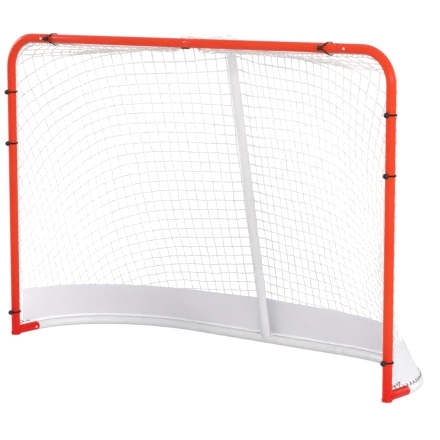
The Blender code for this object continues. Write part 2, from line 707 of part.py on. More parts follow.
    def brace(self):
        """The centre brace: its socket on the rear rail, its bent tube, its saddle and its bolt."""
        seam = (BRACE_SEAM_HEIGHT - TUBE_RADIUS) / brace_direction().z
        socket = make_tube(
            "brace_socket",
            [brace_point(TUBE_RADIUS / 2), brace_point(seam)],
            [TUBE_RADIUS] * 2,
            self.white,
            self.parts,
        )
        cope = add_cylinder(
            "rail_cope", (TUBE_RADIUS + TOUCH_GAP) / FACET, -3 * TUBE_RADIUS, 3 * TUBE_RADIUS, self.cutters
        )
        set_frame(cope, mouth(0, RAIL_DEPTH, TUBE_RADIUS), (0, 0, 1), (1, 0, 0))
        as_cutter(cope)
        boolean(socket, cope, "DIFFERENCE")
        path = [
            brace_point(seam - INSERT_LENGTH),
            brace_point(seam + TOUCH_GAP),
            brace_point(seam + TOUCH_GAP + SWAGE_STEP),
        ] + brace_bend_path()[1:]
        radii = [INSERT_RADIUS] * 2 + [TUBE_RADIUS] * (len(path) - 2)
        tube = make_tube("brace_tube", path, radii, self.white, self.parts)
        self.saddle()
        return socket, tube, seam

    def saddle(self):
        """The plastic cradle between the brace's arm and the crossbar, plugged into the arm."""
        inner = TUBE_RADIUS + TOUCH_GAP
        outline = []
        span = SADDLE_UPPER_ANGLE - SADDLE_LOWER_ANGLE
        for radius, order in (
            (inner, range(SADDLE_SEGMENTS + 1)),
            (inner + SADDLE_WALL, range(SADDLE_SEGMENTS, -1, -1)),
        ):
            for step in order:
                angle = SADDLE_LOWER_ANGLE + span * step / SADDLE_SEGMENTS
                outline.append((radius * math.cos(angle), radius * math.sin(angle)))
        saddle = flat_outline("brace_saddle", outline, SADDLE_WIDTH, self.black, self.parts)
        axes = Matrix((Vector((0, 1, 0)), Vector((0, 0, 1)), Vector((1, 0, 0)))).transposed()
        saddle.matrix_world = Matrix.Translation(mouth(0, 0, BAR_Z)) @ axes.to_4x4()
        plug_radius = TUBE_RADIUS - TUBE_WALL - PLUG_CLEARANCE
        root = TUBE_RADIUS + TOUCH_GAP + SADDLE_WALL / 2
        plug = add_cylinder("plug", plug_radius * FACET, root, root + SADDLE_PLUG_LENGTH, self.cutters)
        set_frame(plug, mouth(0, 0, ARM_Z), (1, 0, 0), (0, 1, 0))
        as_cutter(plug)
        boolean(saddle, plug, "UNION")
        hole = add_cylinder(
            "bolt_hole", BOLT_RADIUS + BOLT_CLEARANCE, -2 * TUBE_RADIUS, -TUBE_RADIUS / 2, self.cutters
        )
        hole.location = mouth(BOLT_X, 0, BAR_Z)
        as_cutter(hole)
        boolean(saddle, hole, "DIFFERENCE")
        boolean(self.bars[-1], hole, "DIFFERENCE")
        under = -(inner + SADDLE_WALL + TOUCH_GAP)
        tip = under + SADDLE_WALL + BOLT_GRIP
        bolt = turned(
            "saddle_bolt",
            [
                (0.0, tip),
                (BOLT_RADIUS, tip),
                (BOLT_RADIUS, under),
                (BOLT_HEAD_RADIUS, under),
                (BOLT_HEAD_RADIUS, under - BOLT_HEAD_HEIGHT + BOLT_HEAD_ROUND),
                (BOLT_HEAD_RADIUS - BOLT_HEAD_ROUND, under - BOLT_HEAD_HEIGHT),
                (0.0, under - BOLT_HEAD_HEIGHT),
            ],
            self.steel,
            self.parts,
        )
        bolt.location = mouth(BOLT_X, 0, BAR_Z)

    def buttons(self, posts, sockets, base, brace):
        """The eight snap buttons that lock the frame's tubes together."""
        bars = self.bars
        centre_x = CROSSBAR_SEAM_X + CENTRE_BUTTON_SETBACK
        self.snap("crossbar_center", mouth(centre_x, 0, BAR_Z), (-1, 0, 0), (0, 1, 0), [bars[-1], bars[1]])
        for label, side in (("left", -1), ("right", 1)):
            inboard = (-side, 0, 0)
            place = mouth(side * (CROSSBAR_END_X + CROSSBAR_BUTTON_SETBACK), 0, BAR_Z)
            self.snap("crossbar_" + label, place, inboard, (0, -1, 0), [bars[side], posts[side]])
            place = mouth(side * POST_X, SOCKET_REACH - FOOT_BUTTON_SETBACK, TUBE_RADIUS)
            self.snap("foot_" + label, place, (0, 1, 0), inboard, [base[side], sockets[side]])
            x = side * (REAR_SEAM_X + REAR_BUTTON_SETBACK)
            place = mouth(x, base_point(x), TUBE_RADIUS)
            self.snap("rear_" + label, place, inboard, (0, -1, 0), [base[side], base[0]])
        socket, tube, seam = brace
        up = brace_direction()
        outward = Vector((0, -up.z, up.y))
        place = brace_point(seam - BRACE_BUTTON_SETBACK)
        self.snap("brace", place, up, outward, [socket, tube])

    def tie(self, label, axis, tube_direction, rope, slip):
        """A ball tie: an elastic cord round a tube and the border rope, and the ball in front."""
        tube_direction = Vector(tube_direction)
        to_rope = rope - axis
        distance = to_rope.length
        to_rope.normalize()
        side = tube_direction.cross(to_rope)
        reach = TIE_CORD_RADIUS + TOUCH_GAP
        front = Vector((0, -1, 0))
        front_angle = math.atan2(front.dot(side), front.dot(to_rope))
        ball_gap = BALL_RADIUS + TIE_CORD_RADIUS + TOUCH_GAP
        ball_reach = TUBE_RADIUS + BALL_RADIUS + TOUCH_GAP
        ring = TUBE_RADIUS + reach
        opening = math.acos((ring ** 2 + ball_reach ** 2 - ball_gap ** 2) / (2 * ring * ball_reach))
        path = []
        for step in range(TIE_SEGMENTS + 1):
            turn = front_angle + opening + (2 * math.pi - 2 * opening) * step / TIE_SEGMENTS
            normal = to_rope * math.cos(turn) + side * math.sin(turn)
            beside = distance * math.cos(turn) + ROPE_RADIUS
            centre = to_rope * distance if beside > TUBE_RADIUS else Vector((0, 0, 0))
            radius = ROPE_RADIUS if beside > TUBE_RADIUS else TUBE_RADIUS
            from_end = min(step, TIE_SEGMENTS - step) / TIE_SEGMENTS
            pulled = max(slip - ball_gap, 0.0) * (1.0 - smooth_step(from_end / TIE_FADE))
            path.append(axis + centre + normal * (radius + reach) - tube_direction * pulled)
        make_cord("tie_cord_" + label, path, TIE_CORD_RADIUS, self.elastic, self.parts)
        mesh = bpy.data.meshes.new("tie_ball_" + label)
        shape = bmesh.new()
        bmesh.ops.create_uvsphere(shape, u_segments=10, v_segments=6, radius=BALL_RADIUS)
        shape.to_mesh(mesh)
        shape.free()
        smooth(mesh)
        ball = add_object("tie_ball_" + label, mesh, self.black, self.parts)
        ball.location = axis + front * ball_reach - tube_direction * slip

    def ties(self):
        """The eight ball ties: three on each post and two on the crossbar."""
        levels = ("upper", "middle", "lower")
        for label, side, lower in (("left", -1, TIE_LOWER_LEFT), ("right", 1, TIE_LOWER_RIGHT)):
            heights = (BAR_Z - TIE_UPPER_DROP, BAR_Z - TIE_MIDDLE_DROP, lower)
            for level, height in zip(levels, heights):
                axis = mouth(side * POST_X, 0, height)
                rope = mouth(side * POST_X, ROPE_REACH, height)
                self.tie("post_%s_%s" % (label, level), axis, (0, 0, 1), rope, 0.0)
        for label, x in (("left", TIE_LEFT_X), ("right", TIE_RIGHT_X)):
            reach, angle, _ = rope_bar_offset(x)
            axis = mouth(x, 0, BAR_Z)
            rope = axis + Vector((0, math.cos(angle), math.sin(angle))) * reach
            self.tie("crossbar_" + label, axis, (1, 0, 0), rope, BALL_SLIP)

    def cloth(self):
        """The border rope, the net, the skirt and the skirt's hem."""
        left, top, right = edge_points(0.0)
        make_cord("net_border_rope", left + top + right, ROPE_RADIUS, self.twine, self.parts)
        make_cord("skirt_hem", hem_path(), HEM_RADIUS, self.twine, self.parts)
        grid = relaxed_net()
        net_grid = grid[:NET_ROWS + 1:STRING_STEP, ::STRING_STEP].copy()
        net_grid[-1, :, 2] += NET_STRING / 2 + TOUCH_GAP
        net = add_object("net", grid_mesh("net", net_grid), self.twine, self.parts)
        strings = net.modifiers.new("strings", "WIREFRAME")
        strings.thickness = NET_STRING
        strings.use_replace = True
        strings.use_even_offset = True
        strings.use_boundary = True
        strings.offset = 0.0
        skirt = add_object("skirt", grid_mesh("skirt", grid[NET_ROWS:]), self.fabric, self.parts)
        body = skirt.modifiers.new("body", "SOLIDIFY")
        body.thickness = SKIRT_THICKNESS
        body.offset = 0.0

    def build(self):
        """Builds every piece."""
        posts = self.posts()
        self.bars = self.crossbar()
        sockets = self.foot_sockets()
        base = self.base()
        brace = self.brace()
        self.buttons(posts, sockets, base, brace)
        self.ties()
        self.cloth()


clear_scene()
Goal().build()
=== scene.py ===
"""Street hockey goal: the looks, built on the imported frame.

Metres, +Z up, +X to the right along the crossbar, +Y from the mouth to the rear rail. Every
size is read from the frame or is a named field of the class that builds with it.
"""
from __future__ import annotations

import logging
import math
import random
import sys
from abc import ABC, abstractmethod
from collections.abc import Callable, Iterator, Sequence
from contextlib import contextmanager
from dataclasses import dataclass, field
from enum import Enum

import bmesh
import bpy
import numpy as np
from mathutils import Matrix, Vector

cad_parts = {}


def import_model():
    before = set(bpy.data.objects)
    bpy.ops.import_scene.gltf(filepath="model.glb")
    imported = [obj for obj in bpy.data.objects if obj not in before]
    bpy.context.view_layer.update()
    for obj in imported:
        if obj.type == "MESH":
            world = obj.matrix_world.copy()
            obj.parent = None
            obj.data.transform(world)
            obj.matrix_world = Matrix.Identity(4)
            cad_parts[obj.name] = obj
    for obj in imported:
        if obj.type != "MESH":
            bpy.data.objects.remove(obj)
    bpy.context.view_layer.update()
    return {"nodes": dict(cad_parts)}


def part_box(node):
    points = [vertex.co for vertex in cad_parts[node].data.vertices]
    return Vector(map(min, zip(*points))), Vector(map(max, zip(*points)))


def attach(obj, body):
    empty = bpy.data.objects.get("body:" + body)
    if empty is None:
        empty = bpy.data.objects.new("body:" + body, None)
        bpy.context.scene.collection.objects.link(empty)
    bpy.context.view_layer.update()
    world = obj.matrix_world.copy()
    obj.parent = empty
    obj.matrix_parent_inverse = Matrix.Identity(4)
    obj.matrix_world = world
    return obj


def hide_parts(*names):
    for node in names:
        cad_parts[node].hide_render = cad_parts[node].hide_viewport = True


log = logging.getLogger("hockey_goal")

WHITE = (1.0, 1.0, 1.0, 1.0)

Colour = tuple[float, float, float]
Point = tuple[float, float, float]
Array = np.ndarray
Line = list[Vector]
Piece = bpy.types.Object
Material = bpy.types.Material
# A place on a tube's axis with the direction of a hole in its wall, and one with the tube's radius.
Hole = tuple[Vector, Vector]
Ring = tuple[Vector, float]


class Side(Enum):
    """The two sides of the goal, seen from in front of its mouth."""

    LEFT = -1
    RIGHT = 1

    @property
    def label(self) -> str:
        """The side's word in the names of the frame's nodes."""
        return self.name.lower()


class Slot(Enum):
    """The record's material slots."""

    RED = "red_paint"
    WHITE = "white_paint"
    BLACK = "black_plastic"
    ELASTIC = "black_elastic"
    STEEL = "spring_steel"
    TWINE = "net_twine"
    FABRIC = "skirt_fabric"


class Turn(Enum):
    """The axis about which a tube's bends turn."""

    X = (1.0, 0.0, 0.0)
    Y = (0.0, 1.0, 0.0)
    Z = (0.0, 0.0, 1.0)


X, Y, Z = (Vector(turn.value) for turn in Turn)


def maths(operation: str, reflected: bool = False) -> Callable[..., Signal]:
    """Makes one of a signal's operators, which adds a Math node.

    Args:
        operation: The Math node's operation.
        reflected: Whether the signal comes second, as the mask does in 1 - mask.

    Returns:
        The operator.
    """

    def work(self: Signal, *others: Signal | float) -> Signal:
        """Adds the node to the signal's recipe."""
        values = (*others, self) if reflected else (self, *others)
        return self.recipe.add("ShaderNodeMath", {"operation": operation}, dict(enumerate(values)))

    return work


class Signal:
    """What leaves one shader socket; Python's operators on it add Math nodes."""

    def __init__(self, recipe: Nodes, socket: bpy.types.NodeSocket) -> None:
        """Wraps a node's output socket."""
        self.recipe = recipe
        self.socket = socket

    __add__, __radd__ = maths("ADD"), maths("ADD", True)
    __sub__, __rsub__ = maths("SUBTRACT"), maths("SUBTRACT", True)
    __mul__, __rmul__ = maths("MULTIPLY"), maths("MULTIPLY", True)
    __truediv__, __rtruediv__ = maths("DIVIDE"), maths("DIVIDE", True)
    __pow__, __abs__, sine = maths("POWER"), maths("ABSOLUTE"), maths("SINE")
    lesser, greater = maths("MINIMUM"), maths("MAXIMUM")

    def rise(self, low: float, high: float) -> Signal:
        """Rises smoothly from 0 at one value to 1 at another.

        Args:
            low: Where the rise starts.
            high: Where it ends; below low, the result falls instead.

        Returns:
            A value from 0 to 1.
        """
        inputs = {"Value": self, "From Min": low, "From Max": high}
        return self.recipe.add("ShaderNodeMapRange", {"interpolation_type": "SMOOTHSTEP"}, inputs)

    def band(self, centre: float, width: float) -> Signal:
        """1 on a line of some width, 0 beside it."""
        return abs(self - centre).rise(width / 2, width / 4)


class Nodes:
    """A node tree, of a material or of the world."""

    def __init__(self, tree: bpy.types.NodeTree) -> None:
        """Takes the tree as it is."""
        self.tree = tree

    def add(
        self,
        kind: str,
        settings: dict[str, object] | None = None,
        inputs: dict[str | int, object] | None = None,
        output: str | int = 0,
    ) -> Signal:
        """Adds a node of any kind.

        Args:
            kind: The node's type.
            settings: Its own settings, set before its inputs.
            inputs: Values or signals for its input sockets, by name or number.
            output: The output socket that is wanted.

        Returns:
            The signal from that output.
        """
        node = self.tree.nodes.new(kind)
        for key, value in (settings or {}).items():
            setattr(node, key, value)
        self.feed(node, inputs or {})
        return Signal(self, node.outputs[output])

    def feed(self, node: bpy.types.Node | str, inputs: dict[str | int, object]) -> None:
        """Gives a node's input sockets their values or signals.

        Args:
            node: The node, or its name.
            inputs: The values or signals, by the sockets' names or numbers.
        """
        sockets = (self.tree.nodes[node] if isinstance(node, str) else node).inputs
        for key, value in inputs.items():
            if isinstance(value, Signal):
                self.tree.links.new(value.socket, sockets[key])
            else:
                sockets[key].default_value = value

    def beside(self, signal: Signal, *outputs: str | int) -> list[Signal]:
        """Signals from other outputs of a signal's node."""
        return [Signal(self, signal.socket.node.outputs[name]) for name in outputs]

    def background_rays(self) -> Signal:
        """1 for the rays that see the plain background: from the camera, reflected or let through."""
        seen = self.add("ShaderNodeLightPath", output="Is Camera Ray")
        glossy, through = self.beside(seen, "Is Glossy Ray", "Is Transmission Ray")
        return seen.greater(glossy).greater(through)


class Recipe(Nodes):
    """One material's node tree, filled by a finish."""

    def __init__(self, name: str) -> None:
        """Starts a material that holds only its shader and its output.

        Args:
            name: The material's name.
        """
        self.material = bpy.data.materials.new(name)
        self.material.use_nodes = True
        super().__init__(self.material.node_tree)
        self.shader = self.tree.nodes["Principled BSDF"]

    def place(self) -> Signal:
        """The point on the object, in metres."""
        return self.add("ShaderNodeTexCoord", output="Object")

    def parts(self, vector: Signal) -> list[Signal]:
        """The three parts of a vector."""
        return self.beside(self.add("ShaderNodeSeparateXYZ", {}, {0: vector}), 0, 1, 2)

    def map(self, name: str) -> list[Signal]:
        """The two parts of a named UV map."""
        return self.parts(self.add("ShaderNodeUVMap", {"uv_map": name}))[:2]

    def noise(
        self,
        vector: Signal,
        scale: float,
        detail: float = 2.0,
        rough: float = 0.5,
        stretch: Sequence[float] = (),
    ) -> Signal:
        """Soft noise around 0.5.

        Args:
            vector: The point.
            scale: The number of lumps to the metre.
            detail: The octaves of finer lumps.
            rough: How strong the finer lumps are.
            stretch: Scales the point along each axis, if given.

        Returns:
            The noise.
        """
        if stretch:
            vector = self.add("ShaderNodeMapping", {}, {"Vector": vector, "Scale": stretch})
        values = {"Vector": vector, "Scale": scale, "Detail": detail, "Roughness": rough}
        return self.add("ShaderNodeTexNoise", {}, values)

    def blend(self, share: Signal | float, first: Signal | Colour, second: Signal | Colour) -> Signal:
        """Mixes two colours.

        Args:
            share: How much of the second there is.
            first: A colour, or a signal that carries one.
            second: The other colour.

        Returns:
            The mixed colour.
        """
        values = {0: share}
        for socket, colour in ((6, first), (7, second)):
            values[socket] = colour if isinstance(colour, Signal) else (*colour, 1.0)
        return self.add("ShaderNodeMix", {"data_type": "RGBA"}, values, output=2)

    def bump(self, height: Signal, depth: float, under: Signal | None = None) -> Signal:
        """Turns a height from 0 to 1 into a normal.

        Args:
            height: The height.
            depth: What a height of 1 stands for, in metres.
            under: Another bump's normal, on which this one lies.

        Returns:
            The normal.
        """
        values = {"Height": height, "Distance": depth, "Strength": 1.0}
        return self.add("ShaderNodeBump", {}, values if under is None else values | {"Normal": under})

    def finish(self, colour: Signal, roughness: Signal, normal: Signal, **constants: float) -> Material:
        """Joins the signals to the shader.

        Args:
            colour: The base colour.
            roughness: The roughness.
            normal: The normal.
            **constants: Values of the shader's other sockets, with _ for each blank.

        Returns:
            The finished material.
        """
        self.feed(self.shader, {"Base Color": colour, "Roughness": roughness, "Normal": normal})
        self.feed(self.shader, {key.replace("_", " "): value for key, value in constants.items()})
        return self.material


@dataclass(frozen=True)
class Finish(ABC):
    """A finish of the goal: its colour, and a second one: painted shade in grooves, seams and the coats'
    lower and left parts, and stains, wear and random tone on some finishes.
    """

    name: str
    slot: Slot
    colour: Colour
    shade: Colour

    @abstractmethod
    def material(self) -> Material:
        """The finished material."""


@dataclass(frozen=True)
class PowderCoat(Finish):
    """Baked powder paint on steel tube: faint orange peel, rubbed a little at the ground, with painted light
    that deepens it low down and on the left.
    """

    rubbed: Colour
    roughness: float
    gloss: float
    peel_depth: float = 0.00004

    def material(self) -> Material:
        """The finished material."""
        recipe = Recipe(self.name)
        place = recipe.place()
        drift = recipe.noise(place, 5.0, 3.0)
        peel = recipe.noise(place, 620.0, 2.0, 0.6)
        grime = recipe.noise(place, 38.0, 5.0, 0.65)
        across, _, height = recipe.parts(place)
        # Painted light: the coat goes from its deep shade colour low down and on the left to its own colour
        # higher up and to the right, as the lamps light it; drift adds a little random tone.
        painted_light_and_drift = height.rise(-0.02, 0.34) * 0.72 + across.rise(-0.9, 0.9) * 0.16 + drift.rise(0.35, 0.7) * 0.12
        low = height.rise(0.085, 0.0) * grime.rise(0.47, 0.66)
        speck = recipe.noise(place, 240.0, 1.0).rise(0.70, 0.78) * 0.25
        colour = recipe.blend(painted_light_and_drift.lesser(1.0), self.shade, self.colour)
        colour = recipe.blend((low * 0.20 + speck * 0.15).lesser(1.0), colour, self.rubbed)
        rough = self.roughness + grime * 0.06 + low * 0.18 + speck * 0.2
        return recipe.finish(colour, rough, recipe.bump(peel, self.peel_depth), Specular_IOR_Level=self.gloss)


@dataclass(frozen=True)
class TwistedTwine(Finish):
    """Twisted or laid cord, whose strands follow its UV map."""

    strands: int
    lay: float
    relief: float
    roughness: float = 0.82

    def material(self) -> Material:
        """The finished material."""
        recipe = Recipe(self.name)
        around, along = recipe.map("run")
        strand = abs(((around + along / self.lay) * (math.pi * self.strands)).sine())
        place = recipe.place()
        fibre = recipe.noise(place, 1900.0, 2.0, 0.7)
        stain = recipe.noise(place, 9.0, 4.0, 0.6)
        # Painted shade in the grooves between the strands, with random stains.
        groove_shade_and_stain = strand.rise(0.45, 0.0) * 0.7 + stain.rise(0.5, 0.8) * 0.25
        colour = recipe.blend(groove_shade_and_stain.lesser(1.0), self.colour, self.shade)
        normal = recipe.bump(strand ** 0.6 * 0.8 + fibre * 0.2, self.relief)
        rough = self.roughness + fibre * 0.12
        return recipe.finish(colour, rough, normal, Sheen_Weight=0.15, Specular_IOR_Level=0.3)


@dataclass(frozen=True)
class WovenSkirt(Finish):
    """Smooth woven polyester with sewn edges and one seam, on a UV map in metres."""

    thread: Colour
    height: float
    length: float
    seam_at: float
    yarn: float = 0.0011
    stitch: float = 0.0042
    stitch_width: float = 0.0011

    def material(self) -> Material:
        """The finished material."""
        recipe = Recipe(self.name)
        across, up = recipe.map("cloth")
        warp, weft = ((part * (math.pi / self.yarn)).sine() for part in (across, up))
        checks = (warp * weft).rise(-0.2, 0.2)
        weave = abs(warp) * checks + abs(weft) * (1.0 - checks)
        place = recipe.place()
        cloudy = recipe.noise(place, 3.2, 4.0, 0.55)
        slub = recipe.noise(place, 90.0, stretch=(1.0, 1.0, 14.0))
        crease = recipe.noise(place, 11.0, 3.0, 0.6, (1.0, 1.0, 0.25))
        from_end = across.lesser(self.length - across)
        from_seam = abs(across - self.seam_at)
        stitch_gate = ((across + up) * (math.pi / self.stitch)).sine().rise(-0.3, 0.1)
        edge_lines = up.band(self.height - 0.011, self.stitch_width) + up.band(0.006, self.stitch_width)
        lines = edge_lines + from_end.band(0.010, self.stitch_width) + from_seam.band(0.0035, 0.0010)
        stitches = lines.lesser(1.0) * stitch_gate
        folded = up.rise(self.height - 0.0140, self.height - 0.0130) + from_end.rise(0.0135, 0.0125)
        ridge, gutter = from_seam.rise(0.0062, 0.0052), from_seam.rise(0.0012, 0.0004)
        # Painted shade: the seam's gutter is darkened; cloudy and slub add random tone.
        tone = (cloudy.rise(0.35, 0.7) * 0.7 + slub * 0.10 + gutter * 0.6).lesser(1.0)
        colour = recipe.blend(tone, self.colour, self.shade)
        colour = recipe.blend(stitches * 0.8, colour, self.thread)
        soft = recipe.bump(crease, 0.0016)
        doubled = recipe.bump((folded + ridge - gutter).lesser(1.0), 0.0004, soft)
        sewn = recipe.bump(1.0 - stitches, 0.00025, doubled)
        rough = 0.62 + weave * 0.10 + cloudy * 0.08
        woven = recipe.bump(weave, 0.00012, sewn)
        return recipe.finish(colour, rough, woven, Sheen_Weight=0.25, Sheen_Roughness=0.4)


@dataclass(frozen=True)
class SewnHem(Finish):
    """The skirt's rolled hem: ribbed white tape with a row of stitches, on its own UV map."""

    rib: float = 0.0016
    stitch: float = 0.004

    def material(self) -> Material:
        """The finished material."""
        recipe = Recipe(self.name)
        around, along = recipe.map("run")
        ribs = abs((along * (math.pi / self.rib)).sine())
        place = recipe.place()
        soil = recipe.noise(place, 24.0, 4.0, 0.6)
        pucker = recipe.noise(place, 70.0, stretch=(1.0, 1.0, 0.4))
        row = around.band(0.36, 0.05) * (along * (math.pi / self.stitch)).sine().rise(-0.2, 0.2)
        # Painted shade in the troughs between the ribs and along the sunk row of stitches; soil adds random
        # dirt.
        tone = (soil.rise(0.50, 0.75) * 0.35 + (1.0 - ribs) * 0.15 + row * 0.5).lesser(1.0)
        colour = recipe.blend(tone, self.colour, self.shade)
        sewn = recipe.bump(1.0 - row, 0.0004, recipe.bump(pucker, 0.0009))
        normal = recipe.bump(ribs, 0.00018, sewn)
        return recipe.finish(colour, 0.72 + ribs * 0.1, normal, Sheen_Weight=0.2)


@dataclass(frozen=True)
class BraidedElastic(Finish):
    """Black bungee cord under a braided sleeve, on its own UV map."""

    picks: int = 8
    lay: float = 0.006

    def material(self) -> Material:
        """The finished material."""
        recipe = Recipe(self.name)
        around, along = recipe.map("run")
        right = ((around + along / self.lay) * (math.pi * self.picks)).sine()
        left = ((around - along / self.lay) * (math.pi * self.picks)).sine()
        braid = abs(right).greater(abs(left))
        fuzz = recipe.noise(recipe.place(), 1500.0, 2.0, 0.7)
        tone = (braid.rise(0.6, 1.0) * 0.45 + fuzz.rise(0.5, 0.8) * 0.35).lesser(1.0)
        colour = recipe.blend(tone, self.colour, self.shade)
        normal = recipe.bump(braid * 0.8 + fuzz * 0.2, 0.00022)
        return recipe.finish(colour, 0.68 + fuzz * 0.15, normal, Specular_IOR_Level=0.18)


@dataclass(frozen=True)
class MouldedPlastic(Finish):
    """Black moulded plastic with a fine grain and a soft shine."""

    roughness: float = 0.30

    def material(self) -> Material:
        """The finished material."""
        recipe = Recipe(self.name)
        place = recipe.place()
        handled = recipe.noise(place, 120.0, 4.0, 0.6)
        colour = recipe.blend(handled.rise(0.50, 0.78) * 0.6, self.colour, self.shade)
        grain = recipe.bump(recipe.noise(place, 1400.0, 2.0, 0.6), 0.00003)
        return recipe.finish(colour, self.roughness + handled * 0.14, grain, Specular_IOR_Level=0.3)


@dataclass(frozen=True)
class PlatedSteel(Finish):
    """Zinc-plated spring steel, brushed along and a little dull."""

    roughness: float = 0.26

    def material(self) -> Material:
        """The finished material."""
        recipe = Recipe(self.name)
        place = recipe.place()
        brushed = recipe.noise(place, 420.0, 2.0, 0.6, (1.0, 9.0, 9.0))
        bloom = recipe.noise(place, 160.0, 4.0, 0.6)
        colour = recipe.blend(bloom.rise(0.42, 0.75), self.colour, self.shade)
        rough = self.roughness + brushed * 0.14 + bloom * 0.06
        return recipe.finish(colour, rough, recipe.bump(brushed, 0.00002), Metallic=0.85)


# The coats' shade colours are painted shade: the deep red and the greyer white that they take low down and on
# the left.
RED_COAT = PowderCoat(
    "red_coat", Slot.RED, (0.80, 0.058, 0.016), (0.76, 0.001, 0.004), (0.50, 0.06, 0.04), 0.15, 0.11
)
WHITE_COAT = PowderCoat(
    "white_coat", Slot.WHITE, (0.83, 0.825, 0.84), (0.80, 0.795, 0.81), (0.62, 0.61, 0.60), 0.30, 0.4
)
# The twines' shade colours are painted shade in the grooves between their strands.
NET_TWINE, ROPE_TWINE, EDGE_TWINE, SHADOW_BROWN_TWINE = (
    TwistedTwine("net_twine", Slot.TWINE, (0.92, 0.92, 0.915), (0.82, 0.82, 0.815), 3, 0.011, 0.0002),
    TwistedTwine("border_rope", Slot.TWINE, (0.86, 0.86, 0.85), (0.62, 0.62, 0.61), 3, 0.018, 0.0006),
    TwistedTwine("edge_lacing", Slot.TWINE, (0.60, 0.57, 0.52), (0.36, 0.33, 0.29), 2, 0.008, 0.0003),
    # The stitch cord's dark brown is painted shade: it stands for the shadow between the hem's coils and
    # under the loops at its ends.
    TwistedTwine("stitch_cord", Slot.TWINE, (0.17, 0.10, 0.075), (0.06, 0.035, 0.025), 2, 0.006, 0.0003),
)
HEM_TAPE = SewnHem("hem_tape", Slot.TWINE, (0.97, 0.97, 0.97), (0.86, 0.86, 0.87))
TIE_ELASTIC = BraidedElastic("tie_elastic", Slot.ELASTIC, (0.004, 0.004, 0.0045), (0.020, 0.020, 0.022))
BLACK_PLASTIC = MouldedPlastic("moulded_black", Slot.BLACK, (0.004, 0.004, 0.005), (0.014, 0.014, 0.017))
STEEL = PlatedSteel("plated_steel", Slot.STEEL, (0.80, 0.79, 0.76), (0.58, 0.57, 0.55))


